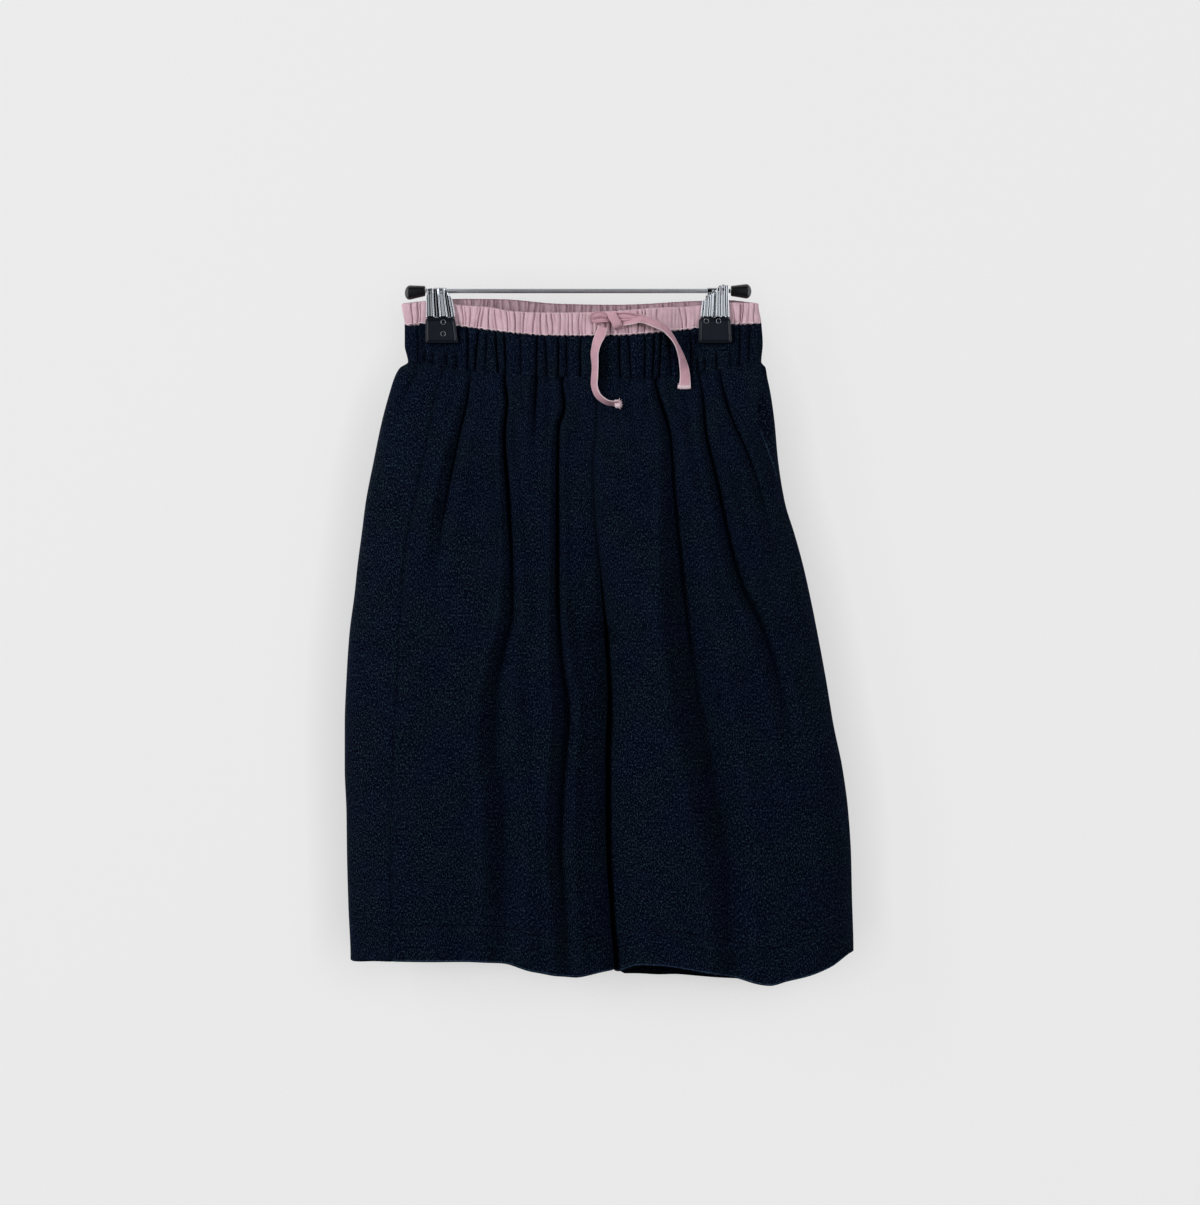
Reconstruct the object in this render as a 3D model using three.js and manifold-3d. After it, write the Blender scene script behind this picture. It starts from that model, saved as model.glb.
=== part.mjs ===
// A child's wide pull-on shorts, gathered at the waist, hanging from two clips on a slim bar.
// Millimetres. +Z is up, the front faces -Y, and +X is the wearer's left.
// The origin is the middle of the bar's axis, where the hanger is held.

import * as THREE from "three";
import { mergeVertices } from "three/addons/utils/BufferGeometryUtils.js";
import Module from "manifold-3d";

// Cloth walls and the gap between two pieces at a seam.
const PANEL_WALL = 1.5;
const HEM_WALL = 2.6;
const WAISTBAND_WALL = 2.0;
const CASING_WALL = 2.2;
const SEAM_GAP = 0.3;

// Levels that the shape is worked out from. A level is a nominal height: the edges bend away from it.
const CASING_TOP = -10;
const CASING_SEAM = -24;
const WAIST_SEAM = -50;
const CROTCH = -244;
const HEM_STITCH = -446;
const HEM = -470;
const PANEL_LEVELS = [
  WAIST_SEAM, -54, -61, -71, -86, -105, -127, -155, -184, -210, -230, CROTCH,
  -266, -302, -345, -390, -428, HEM_STITCH + 1.5, HEM_STITCH - 1.5, HEM,
];

// Clips: where each one grips, and how far out the gripped cloth lies.
const CLIP_RIGHT_X = -97;
const CLIP_LEFT_X = 94.5;
const JAW_DEPTH = 2.8;
const PINCH_FLAT = 13.5;
const PINCH_REACH = 22;
const PINCH_OUTSIDE = 0.82;

// Side outlines seen from the front.
const OUTLINE = table("z right left", [
  [CASING_TOP, -123.8, 126],
  [CASING_SEAM, -121.7, 128],
  [-38, -121.7, 129],
  [WAIST_SEAM, -119.4, 128],
  [-54, -125, 131],
  [-60, -128.5, 132],
  [-72, -132.4, 134.5],
  [-92, -137.8, 137.3],
  [-118, -143.2, 139.7],
  [-148, -149, 144.5],
  [-170, -151.8, 151.2],
  [-191, -154.6, 157],
  [-212, -156.8, 161.8],
  [-240, -160.4, 167.4],
  [-272, -162.5, 173.3],
  [-304, -163.7, 178.6],
  [-334, -163.7, 184.8],
  [-364, -162.5, 188.8],
  [-395, -162.1, 190.8],
  [-433, -161.1, 191.5],
  [HEM, -159.6, 192.5],
]);

// How far the front and back stand off the middle plane, the length over which a side rounds off,
// and how strongly the clips still press the two together.
const SECTION = table("z front back round pinch", [
  [CASING_TOP, 13, 8, 7, 1],
  [CASING_SEAM, 13.5, 8.5, 7, 1],
  [-40, 14, 9, 7, 1],
  [WAIST_SEAM, 15, 10.5, 9, 0.86],
  [-61, 18.5, 15, 16, 0.6],
  [-86, 22, 20, 28, 0.24],
  [-127, 25, 24, 42, 0],
  [-184, 28, 28, 52, 0],
  [CROTCH, 31, 31, 58, 0],
  [-345, 31, 32, 62, 0],
  [HEM, 29, 31, 64, 0],
]);

// The centre seam and, below the crotch, the line between the legs: where it runs, how much of the
// depth is left at the seam, over what length the cloth turns in towards it, the gap there, and how
// far the right leg's inner edge comes forward and the left one's goes back, so that they overlap.
const CENTRE = table("z x left_over turn gap stagger", [
  [WAIST_SEAM, 13, 0.97, 10, 0, 0],
  [-87, 13.3, 0.95, 12, 0, 0],
  [-122, 10.5, 0.92, 16, 0, 0],
  [-157, 11.6, 0.87, 20, 0, 0],
  [-190, 14.7, 0.76, 26, 0, 0],
  [-215, 17, 0.52, 34, 0, 0],
  [-232, 18.4, 0.26, 40, 0, 0],
  [CROTCH, 19.3, 0, 44, 0, 0],
  [-279, 20.3, 0, 48, 0, 3.6],
  [-332, 18.4, 0, 50, -0.4, 6],
  [-384, 18.8, 0, 52, -0.4, 6],
  [-437, 22, 0, 54, -0.4, 6],
  [HEM, 24.6, 0, 54, -0.4, 6],
]);

// The right side seam, rolled to the front, and how far the left one lies in from the left outline.
// The left one bends in along the pocket mouth.
const RIGHT_SEAM = table("z x", [
  [WAIST_SEAM, -93.5], [-66, -97.7], [-104, -104], [-139, -111], [-174, -118],
  [-216, -122.2], [-279, -125], [-332, -127.8], [-384, -129.2], [HEM, -129.4],
]);
const LEFT_SEAM = table("z inset lift", [
  [WAIST_SEAM, 3, 0], [-64, 4, 0.2], [-74, 8, 0.9], [-86, 12, 1.3], [-96, 11.6, 1.3],
  [-112, 7, 1], [-128, 3.4, 0.3], [-140, 3, 0], [HEM, 3, 0],
]);

// Edges across the waist, seen from the front: top of the casing, its seam and the waist seam.
const FRONT_EDGES = table("x top seam waist", [
  [-124, -9.5, -23.8, -49.7],
  [-105, -8, -22.6, -51.5],
  [-86, -10.4, -24, -54.3],
  [-65, -12.4, -27, -57],
  [-45, -15.9, -29.8, -59.8],
  [-20, -16.8, -31.6, -61],
  [5, -16.6, -31.8, -61.6],
  [30, -15.4, -31.3, -61.8],
  [55, -13.3, -29.3, -61.4],
  [80, -11.6, -26.1, -58],
  [105, -9.1, -23.4, -53.5],
  [129, -9.3, -22.4, -49.7],
]);
const BACK_EDGES = table("x top seam waist", [
  [-124, -9.5, -23.8, -49.7],
  [-86, -6.3, -21, -51.5],
  [-55, -6, -20.8, -53.5],
  [-15, -9, -24, -56],
  [25, -9.8, -24.8, -56.5],
  [80, -7.8, -22.4, -53.5],
  [105, -7.2, -21.8, -51.2],
  [129, -9.3, -22.4, -49.7],
]);

// Hem edges: the front one rides up over the back one.
const HEM_EDGES = {
  right: {
    front: table("x z", [
      [-160, -467.6], [-140, -466.2], [-77, -466], [-52, -467.4], [-30, -473], [-2, -477], [24, -473.6],
    ]),
    back: table("x z", [
      [-160, -467.6], [-142, -467.6], [-77, -471], [-42, -472], [-16, -477.6], [0, -478.6], [24, -473.6],
    ]),
  },
  left: {
    front: table("x z", [
      [25, -475], [42, -469.4], [54, -469.2], [89, -473.9], [110, -477.8], [133, -482.4], [145, -479.5],
      [161, -476], [175, -471], [193, -461.5],
    ]),
    back: table("x z", [
      [25, -475], [32, -478.8], [68, -480.6], [103, -483.2], [133, -484.6], [145, -480.5], [161, -476.4],
      [175, -471], [193, -461.5],
    ]),
  },
};

// The largest folds of the front. A fold is a trough: where it runs, how deep and how wide it is.
const FRONT_FOLDS = {
  right: [
    table("z x depth half", [
      [WAIST_SEAM, -75.6, 3, 4], [-73, -77.7, 4.4, 5], [-97, -82.3, 4.4, 6], [-132, -89, 3.6, 7],
      [-167, -95, 2.4, 8], [-200, -98.7, 0.6, 9], [-240, -100, 0, 9], [HEM, -102, 0, 10],
    ]),
    table("z x depth half", [
      [WAIST_SEAM, -51.5, 3, 4], [-71, -49.7, 4.6, 4], [-101, -51.5, 5, 5], [-146, -48.7, 4.6, 6],
      [-195, -46.2, 4, 6], [-223, -46, 4, 7], [-251, -51.5, 4, 8], [-286, -57, 4, 10],
      [-314, -57, 4.4, 12], [-366, -51.5, 4.6, 13], [-420, -51.5, 3.4, 13], [HEM, -51.5, 2, 13],
    ]),
    table("z x depth half", [
      [WAIST_SEAM, -29.4, 3, 4], [-70, -30, 3, 4.5], [-100, -30.6, 1.2, 5], [-130, -31, 0, 5],
      [-250, -31, 0, 5], [HEM, -29, 0, 5],
    ]),
    table("z x depth half", [
      [WAIST_SEAM, -11.4, 2.6, 3.5], [-73, -10, 4, 4], [-94, -14, 4.4, 5], [-139, -14.7, 4.2, 6],
      [-209, -14.7, 4, 6], [-251, -13, 4, 7], [-297, -8.6, 4.4, 8], [-332, -11.2, 4, 8],
      [-384, -13, 3.6, 8], [-440, -8.4, 2.6, 8], [HEM, -7.6, 1.8, 8],
    ]),
  ],
  left: [
    table("z x depth half", [
      [WAIST_SEAM, 53.6, 3, 3.5], [-69, 57, 4.2, 4], [-83, 60.6, 4.6, 5], [-97, 63.4, 4.6, 6],
      [-139, 63, 4.8, 8], [-209, 66.2, 5.4, 12], [-262, 73.9, 6, 15], [-314, 81.6, 6, 16],
      [-367, 93.5, 5.6, 15], [-402, 100, 4.6, 14], [HEM, 102.6, 2.6, 12],
    ]),
    table("z x depth half", [
      [WAIST_SEAM, 84.6, 3, 3.5], [-69, 86.8, 4, 4], [-97, 88.6, 4.4, 5], [-139, 97.3, 4, 6],
      [-181, 106, 3.6, 7], [-206, 113.6, 3.4, 8], [-232, 126, 3.2, 8], [-279, 141, 2.6, 9],
      [-304, 146, 1.6, 9], [-350, 149, 0, 9], [HEM, 150, 0, 9],
    ]),
    table("z x depth half", [
      [WAIST_SEAM, 99, 3, 3.5], [-64, 100.8, 3.6, 4], [-87, 106.6, 3.6, 4], [-115, 117.5, 3, 5],
      [-143, 127, 2, 6], [-180, 136, 0.6, 6], [-232, 148, 0, 6], [-304, 164, 0, 6], [HEM, 174, 0, 6],
    ]),
  ],
};

// The tables give a fold's depth when it hangs slack. The clips' pull makes it this much deeper.
// Cloth stands up at each side of a fold, and in crowns between the folds below the waist seam.
const FOLD_DEPTH = 1.3;
const SHOULDER = 0.3;
const CROWN_RISE = 1.4;

// The short fold that runs out over the right side, on the cloth that rolls round from the back.
const RIGHT_SIDE_FOLD = table("z x depth half", [
  [WAIST_SEAM, -110.4, 2, 4], [-62, -115.2, 2.6, 4], [-70, -119.4, 2.2, 4], [-85, -124.6, 1, 4],
  [-105, -127, 0, 5], [-190, -138, 0, 5], [HEM, -145, 0, 5],
]);

// The back hangs in like folds.
const BACK_FOLDS = {
  right: [
    table("z x depth half", [
      [WAIST_SEAM, -12, 3, 4], [-90, -14, 4.6, 6], [-180, -17, 4.4, 8], [-300, -21, 4.4, 10],
      [HEM, -23, 2.4, 11],
    ]),
    table("z x depth half", [
      [WAIST_SEAM, -38, 3, 4], [-84, -41, 4.4, 5], [-150, -46, 3.6, 7], [-220, -50, 1, 8], [HEM, -56, 0, 9],
    ]),
    table("z x depth half", [
      [WAIST_SEAM, -66, 3, 4], [-90, -71, 4.8, 6], [-170, -80, 5, 8], [-290, -88, 5, 12], [HEM, -90, 2.6, 13],
    ]),
    table("z x depth half", [
      [WAIST_SEAM, -91, 2, 4], [-80, -97, 3.6, 5], [-130, -108, 3, 7], [-190, -117, 0.6, 8],
      [HEM, -121, 0, 8],
    ]),
  ],
  left: [
    table("z x depth half", [
      [WAIST_SEAM, 36, 3, 4], [-90, 39, 4.4, 6], [-180, 46, 4.6, 9], [-300, 52, 5, 12], [HEM, 55, 2.4, 13],
    ]),
    table("z x depth half", [
      [WAIST_SEAM, 62, 3, 4], [-84, 66, 4.2, 5], [-150, 74, 3.4, 7], [-230, 84, 0.8, 8], [HEM, 92, 0, 9],
    ]),
    table("z x depth half", [
      [WAIST_SEAM, 86, 2.4, 4], [-90, 93, 4.6, 6], [-170, 106, 4.8, 8], [-290, 127, 4.6, 12],
      [HEM, 134, 2.4, 13],
    ]),
  ],
};

// Gathers of the waistband's front: where each trough lies and how strong it is.
const WAISTBAND_GATHERS = [
  [-112.4, 0.6], [-107.2, 0.7], [-101, 0.4], [-92.4, 0.6], [-85.8, 1], [-77.6, 1], [-71.1, 0.9],
  [-64, 0.4], [-56.7, 1], [-51.3, 0.9], [-40, 0.35], [-28.7, 1], [-22.6, 0.6], [-14.4, 1], [-8.2, 0.6],
  [1.6, 0.8], [14, 0.4], [29, 1], [36, 0.6], [46, 0.7], [52, 0.9], [57, 1], [64.2, 0.6], [78, 0.6],
  [83.4, 0.6], [89, 0.5], [97, 0.9], [105.5, 0.4], [112.5, 0.9], [119.4, 0.7],
].map(([x, strength]) => ({ x, strength }));
const GATHER_DEPTH = { waistband: 1.5, casing: 0.9 };
const GATHER_RISE = { waistband: 0.8, casing: 0.4 };
const CASING_PUFF = 0.3;
const WAISTBAND_PUFF = 0.2;

// Counts and unevenness of the gathers that are spread by rule.
const SPREAD_GATHERS = {
  waistbandBack: { count: 27, from: -114, to: 121, sway: 0.24, turn: 2.1 },
  casingFront: { count: 50, from: -116, to: 122, sway: 0.2, turn: 1.7 },
  casingBack: { count: 42, from: -116, to: 122, sway: 0.22, turn: 2.6 },
};

// The tie's free ends: places down the middle of the tape, its width there and its lift off the cloth.
const TIE_THICK = 0.9;
const TIE_SEAT = 0.6;
const TIE_END_RIGHT = [
  { x: 15.8, z: -30, width: 7 }, { x: 14.2, z: -34, width: 7 }, { x: 12.4, z: -39.4, width: 6.2 },
  { x: 11.4, z: -45.6, width: 5.4 }, { x: 11.6, z: -53, width: 4.6 }, { x: 11.3, z: -61, width: 4.6 },
  { x: 11.2, z: -67, width: 4.4 }, { x: 12.6, z: -72.6, width: 4 }, { x: 15.6, z: -76.6, width: 3.8 },
  { x: 20.2, z: -79.5, width: 3.8 }, { x: 24.4, z: -80.2, width: 4.2 }, { x: 28.4, z: -80.6, width: 6 },
];
const TIE_END_LEFT = [
  { x: 32.6, z: -21.9, width: 6.4 }, { x: 42, z: -21.2, width: 6 }, { x: 48.9, z: -22.2, width: 6.4 },
  { x: 54.3, z: -24.6, width: 5.7 }, { x: 59.7, z: -27.4, width: 5 }, { x: 63.6, z: -31, width: 4 },
  { x: 67.2, z: -36.4, width: 3 }, { x: 70.4, z: -43, width: 3.6 }, { x: 72.6, z: -50, width: 5.4 },
  { x: 74, z: -58, width: 7 }, { x: 74.2, z: -69, width: 8 },
];
const KNOT = { x: 20.5, z: -22.6, width: 22, height: 13, depth: 6.4 };

// Hanger bar, its end knobs and the sleeve and pivot of each clip.
const BAR = { radius: 1.6, right: -106.9, left: 106.3 };
const KNOB = { inner: 3.7, outer: 5.1, length: 14.5, edge: 1.4 };
const SLEEVE = { width: 9, half: 2.4, bore: 1.9 };
const PIVOT = { half: 2.9, radius: 1.5, width: 11, z: -4.25 };

// Clip plates: edges seen from the front, and how far the inner face stands off the middle plane.
const PLATE_WALL = 1.1;
const PLATE_RIBS = 5;
const RIB_HEIGHT = 0.7;
const PLATE_EDGES = {
  right: table("z right left", [
    [-19, -106.1, -87.4], [-10, -106.1, -88.2], [-4.2, -106.1, -89.3], [-1, -106, -91.2], [1.6, -105.6, -94],
  ]),
  left: table("z right left", [
    [-19, 85.4, 105.1], [-10, 86.3, 104.8], [-6, 89, 104.7], [-2.6, 94.4, 104.6], [3.4, 100, 104.2],
  ]),
};
const PLATE_STAND = table("z off", [
  [-19, 4.5], [-12, 3.7], [PIVOT.z, PIVOT.half + SEAM_GAP], [-1, 4.4], [3.4, 6.2],
]);
const PAD = { top: -19.3, bottom: -36.8, thick: 4, corner: 2.2, bevel: 0.6 };
const PAD_EDGES = {
  right: { topRight: -106.8, topLeft: -86.1, bottomRight: -106.8, bottomLeft: -84 },
  left: { topRight: 84.2, topLeft: 106.2, bottomRight: 83.6, bottomLeft: 107.2 },
};

const COLOURS = {
  navy: { color: 0x10161f, roughness: 0.95, metalness: 0 },
  pink: { color: 0xd9b4c0, roughness: 0.85, metalness: 0 },
  chrome: { color: 0xd6d8da, roughness: 0.15, metalness: 1 },
  blackRubber: { color: 0x15181c, roughness: 0.45, metalness: 0 },
};

// A table with named columns. Each column is read at any place, along a smooth curve through its
// rows that never swings past them.
function table(names, rows) {
  const [, ...columns] = names.split(" ");
  const ordered = [...rows].sort((a, b) => a[0] - b[0]);
  const places = ordered.map((row) => row[0]);
  const readers = columns.map((column, index) => {
    const values = ordered.map((row) => row[index + 1]);
    return [column, (place) => smoothRead(places, values, place)];
  });
  return Object.fromEntries(readers);
}

function smoothRead(places, values, place) {
  const last = places.length - 1;
  if (place <= places[0]) return values[0];
  if (place >= places[last]) return values[last];
  const step = (i) => (values[i + 1] - values[i]) / (places[i + 1] - places[i]);
  const slope = (i) => {
    if (i === 0 || i === last) return 0;
    const [before, after] = [step(i - 1), step(i)];
    return before * after <= 0 ? 0 : (2 * before * after) / (before + after);
  };
  const i = places.findIndex((next) => next > place) - 1;
  const span = places[i + 1] - places[i];
  const t = (place - places[i]) / span;
  const bend = values[i + 1] - values[i];
  const a = slope(i) * span - bend;
  const b = -slope(i + 1) * span + bend;
  return values[i] + t * bend + t * (1 - t) * (a * (1 - t) + b * t);
}

const mix = (a, b, share) => a + (b - a) * share;
const clamp = (value, low, high) => Math.min(high, Math.max(low, value));

// 0 at one place and 1 at the other, with soft ends.
function easeBetween(none, full, place) {
  const t = clamp((place - none) / (full - none), 0, 1);
  return t * t * (3 - 2 * t);
}

// A quarter round: 0 at an edge and 1 from the given length on.
function roundOff(distance, length) {
  return Math.sqrt(1 - (1 - clamp(distance / length, 0, 1)) ** 2);
}

// How much the clips press the cloth together at this place, from 0 to 1.
function pinchAt(x, level) {
  const grips = [CLIP_RIGHT_X, CLIP_LEFT_X].map((clip) => {
    const away = Math.max(Math.abs(x - clip) - PINCH_FLAT, 0);
    const grip = Math.exp(-((away / PINCH_REACH) ** 2));
    const outside = Math.sign(clip) * (x - clip) > 0;
    return outside ? mix(PINCH_OUTSIDE, 1, grip) : grip;
  });
  return Math.max(...grips) * SECTION.pinch(level);
}

// The tube that a place belongs to: the whole waist, or the leg on its side.
function tubeAt(leg, level) {
  const centre = CENTRE.x(level);
  const gap = SEAM_GAP / 2 + CENTRE.gap(level);
  return leg === "right"
    ? { outer: OUTLINE.right(level), inner: centre - gap, out: -1 }
    : { outer: OUTLINE.left(level), inner: centre + gap, out: 1 };
}

// A point of a leg's cloth. Inset 0 is the outer face, and the wall's thickness is the inner face.
function clothPoint({ leg, side, x, level, relief = 0, inset = 0, z }) {
  const { outer, inner, out } = tubeAt(leg, level);
  const leftOver = CENTRE.left_over(level);
  const middle = (outer + inner) / 2;
  const half = Math.abs(outer - inner) / 2;
  const towardsOuter = out * (x - middle) > 0;
  const narrowing = towardsOuter ? inset : inset * (1 - leftOver);
  const pinch = pinchAt(x, level);
  const free = SECTION[side](level);
  const sideRound = roundOff(Math.abs(outer - x), SECTION.round(level));
  const turn = roundOff(Math.abs(x - inner), CENTRE.turn(level));
  const centreRound = mix(leftOver, 1, turn);
  const depth = mix(free, JAW_DEPTH, pinch) - inset + relief * (1 - pinch);
  const y = Math.max(depth * sideRound * centreRound, SEAM_GAP / 2);
  const shift = out * CENTRE.stagger(level) * (1 - turn);
  return [middle + (x - middle) * ((half - narrowing) / half), shift + (side === "front" ? -y : y), z];
}

// Height of a panel point: its level, bent to follow the waist seam above and the hem below.
function panelHeight(leg, side, x, level) {
  const edges = side === "front" ? FRONT_EDGES : BACK_EDGES;
  const waist = edges.waist(x) - SEAM_GAP - WAIST_SEAM;
  const hem = HEM_EDGES[leg][side].z(x) - HEM;
  return level + waist * easeBetween(-125, WAIST_SEAM, level) + hem * easeBetween(-380, HEM_STITCH, level);
}

// Depth of a trough at a place, from its middle to the low shoulder that stands at each side of it.
function troughAt(fold, x, level) {
  const away = Math.abs(x - fold.x(level)) / fold.half(level);
  const sunk = Math.exp(-2.4 * away * away);
  const shoulder = SHOULDER * Math.exp(-4 * (away - 1.2) ** 2);
  return FOLD_DEPTH * fold.depth(level) * (sunk - shoulder);
}

// Raised and sunk cloth of a panel: its folds, and the crowns that stand between them near the waist.
function panelRelief(folds, x, level) {
  const crown = CROWN_RISE * easeBetween(-190, -75, level) * easeBetween(WAIST_SEAM + 2, -66, level);
  return folds.reduce((relief, fold) => relief - troughAt(fold, x, level), crown);
}

// A closed wall: an outer and an inner grid of points, and the four rims that join them.
function wall(columns, levels, pointAt) {
  const outer = levels.map((level) => columns.map((column) => pointAt(column, level, false)));
  const inner = levels.map((level) => columns.map((column) => pointAt(column, level, true)));
  const points = [...outer, ...inner].flat();
  const wide = columns.length;
  const tall = levels.length;
  const at = (layer, row, column) => (layer * tall + row) * wide + column;
  const triangles = [];
  const quad = (a, b, c, d) => {
    const far = (i, j) => Math.hypot(...points[i].map((value, axis) => value - points[j][axis]));
    if (far(a, c) <= far(b, d)) triangles.push(a, b, c, a, c, d);
    else triangles.push(a, b, d, b, c, d);
  };
  for (let row = 0; row < tall - 1; row += 1) {
    for (let column = 0; column < wide - 1; column += 1) {
      const [down, next] = [row + 1, column + 1];
      quad(at(0, row, column), at(0, down, column), at(0, down, next), at(0, row, next));
      quad(at(1, row, column), at(1, row, next), at(1, down, next), at(1, down, column));
    }
    quad(at(0, row, 0), at(1, row, 0), at(1, row + 1, 0), at(0, row + 1, 0));
    const end = wide - 1;
    quad(at(0, row, end), at(0, row + 1, end), at(1, row + 1, end), at(1, row, end));
  }
  for (let column = 0; column < wide - 1; column += 1) {
    quad(at(0, 0, column), at(0, 0, column + 1), at(1, 0, column + 1), at(1, 0, column));
    const end = tall - 1;
    quad(at(0, end, column), at(1, end, column), at(1, end, column + 1), at(0, end, column + 1));
  }
  return closedGeometry(points, triangles);
}

// A geometry from points and triangles, turned so that its faces point out.
function closedGeometry(points, triangles) {
  let volume = 0;
  for (let i = 0; i < triangles.length; i += 3) {
    const [a, b, c] = triangles.slice(i, i + 3).map((index) => new THREE.Vector3(...points[index]));
    volume += a.dot(b.cross(c));
  }
  if (volume < 0) {
    for (let i = 0; i < triangles.length; i += 3) {
      [triangles[i + 1], triangles[i + 2]] = [triangles[i + 2], triangles[i + 1]];
    }
  }
  const geometry = new THREE.BufferGeometry();
  geometry.setAttribute("position", new THREE.Float32BufferAttribute(points.flat(), 3));
  geometry.setIndex(triangles);
  return geometry;
}

// Columns of a panel that follow a fold: its two edges and its middle.
function foldColumns(side, fold) {
  return [-1, 0, 1].map((edge) => ({ side, x: (level) => fold.x(level) + edge * fold.half(level) }));
}

// Adds a column half way between each two that are further apart than this at the middle level.
function withMiddles(columns, widest) {
  return columns.flatMap((column, index) => {
    const next = columns[index + 1];
    const far = next && next.side === column.side && Math.abs(next.x(CROTCH) - column.x(CROTCH)) > widest;
    return far ? [column, { side: column.side, x: (z) => (column.x(z) + next.x(z)) / 2 }] : [column];
  });
}

// Columns that close in on an edge, so that the cloth rounds off there.
function edgeColumns(side, edgeAt, inwards, steps) {
  return steps.map((step) => ({ side, x: (level) => edgeAt(level) + inwards * step }));
}

function panelWall(leg, columns, foldsOf) {
  const insetAt = (level) => (level < HEM_STITCH ? HEM_WALL : PANEL_WALL);
  return wall(columns, PANEL_LEVELS, (column, level, isInner) => {
    const x = column.x(level);
    const lift = column.lift ? column.lift(level) : 0;
    const relief = panelRelief(foldsOf(column.side), x, level) + lift;
    const z = panelHeight(leg, column.side, x, level);
    return clothPoint({ leg, side: column.side, x, level, relief, inset: isInner ? insetAt(level) : 0, z });
  });
}

const CENTRE_STEPS = [0, 1.6, 5.5, 13];
const SIDE_STEPS = [14, 5.5, 1.6, 0];
const outlineRight = (level) => OUTLINE.right(level);
const outlineLeft = (level) => OUTLINE.left(level);
const centreRight = (level) => tubeAt("right", level).inner;
const centreLeft = (level) => tubeAt("left", level).inner;
const leftSeam = (level) => OUTLINE.left(level) - LEFT_SEAM.inset(level);

function frontPanelRight() {
  const seam = (level) => RIGHT_SEAM.x(level) + SEAM_GAP / 2;
  const columns = [
    { side: "front", x: seam },
    ...FRONT_FOLDS.right.flatMap((fold) => foldColumns("front", fold)),
    ...edgeColumns("front", centreRight, -1, [...CENTRE_STEPS].reverse()),
  ];
  return panelWall("right", withMiddles(columns, 18), () => FRONT_FOLDS.right);
}

function frontPanelLeft() {
  const seam = (level) => leftSeam(level) - SEAM_GAP / 2;
  const raised = (level) => LEFT_SEAM.lift(level);
  const columns = [
    ...edgeColumns("front", centreLeft, 1, CENTRE_STEPS),
    ...FRONT_FOLDS.left.flatMap((fold) => foldColumns("front", fold)),
    { side: "front", x: (level) => seam(level) - 3, lift: (level) => raised(level) / 2 },
    { side: "front", x: seam, lift: raised },
  ];
  return panelWall("left", withMiddles(columns, 18), () => FRONT_FOLDS.left);
}

// The back of the right leg, round its side and on to the front as far as the side seam.
function backPanelRight() {
  const seam = (level) => RIGHT_SEAM.x(level) - SEAM_GAP / 2;
  const back = [
    ...edgeColumns("back", centreRight, -1, CENTRE_STEPS),
    ...BACK_FOLDS.right.flatMap((fold) => foldColumns("back", fold).reverse()),
    ...edgeColumns("back", outlineRight, 1, SIDE_STEPS.slice(1, 3)),
  ];
  const round = [
    ...edgeColumns("front", outlineRight, 1, [0, 1.6, 5.5]),
    ...foldColumns("front", RIGHT_SIDE_FOLD).slice(1),
    { side: "front", x: seam },
  ];
  const foldsOf = (side) => (side === "back" ? BACK_FOLDS.right : [RIGHT_SIDE_FOLD]);
  return panelWall("right", [...withMiddles(back, 24), ...withMiddles(round, 18)], foldsOf);
}

// The back of the left leg and the narrow strip of it that turns on to the front. Along the pocket
// mouth this strip lies lower than the front panel's edge.
function backPanelLeft() {
  const seam = (level) => leftSeam(level) + SEAM_GAP / 2;
  const back = [
    ...edgeColumns("back", centreLeft, 1, CENTRE_STEPS),
    ...BACK_FOLDS.left.flatMap((fold) => foldColumns("back", fold)),
    ...edgeColumns("back", outlineLeft, -1, SIDE_STEPS.slice(0, 3)),
  ];
  const sunk = (level) => -LEFT_SEAM.lift(level);
  const round = [
    ...edgeColumns("front", outlineLeft, -1, [0, 1.2]),
    { side: "front", x: seam, lift: sunk },
  ];
  const foldsOf = (side) => (side === "back" ? BACK_FOLDS.left : []);
  return panelWall("left", [...withMiddles(back, 24), ...round], foldsOf);
}

// Gathers spread by rule between two places, unevenly spaced and of uneven strength.
function spreadGathers({ count, from, to, sway, turn }) {
  const pitch = (to - from) / count;
  return Array.from({ length: count }, (_, index) => ({
    x: from + pitch * (index + 0.5 + sway * Math.sin(turn * index)),
    strength: 0.7 + 0.3 * Math.sin(turn * index * 1.6 + 1),
  }));
}

// Columns of a gathered band, from its right tip to its left one: a trough at each gather and a
// crown between each two.
function gatherColumns(gathers, depth, rise) {
  const troughs = gathers.map(({ x, strength }) => ({ x, relief: -depth * strength }));
  const crowns = gathers.slice(1).map(({ x }, index) => ({ x: (x + gathers[index].x) / 2, relief: rise }));
  const inner = [...troughs, ...crowns].sort((a, b) => a.x - b.x);
  const tips = [0, 1.2, 4];
  return [
    ...tips.map((step) => ({ fromRight: step, relief: 0 })),
    ...inner,
    ...tips.map((step) => ({ fromLeft: step, relief: 0 })).reverse(),
  ];
}

// Where a band's column lies at a level: gathers keep their place, and tips follow the outline.
function bandX(column, level) {
  if ("fromRight" in column) return OUTLINE.right(level) + column.fromRight;
  if ("fromLeft" in column) return OUTLINE.left(level) - column.fromLeft;
  return column.x;
}

// A band between two edges. Its rows are shares of its height, each with a puff of its own.
function bandWall({ side, gathers, depth, rise, upper, lower, levels, rows, thick }) {
  const edges = side === "front" ? FRONT_EDGES : BACK_EDGES;
  return wall(gatherColumns(gathers, depth, rise), rows, (column, row, isInner) => {
    const level = mix(levels[0], levels[1], row.share);
    const x = bandX(column, level);
    const top = edges[upper](x) - (upper === "top" ? 0 : SEAM_GAP);
    const z = mix(top, edges[lower](x), row.share);
    const relief = column.relief * row.gather + row.puff;
    return bandPoint({ side, x, level, relief, inset: isInner ? thick : 0, z });
  });
}

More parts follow.
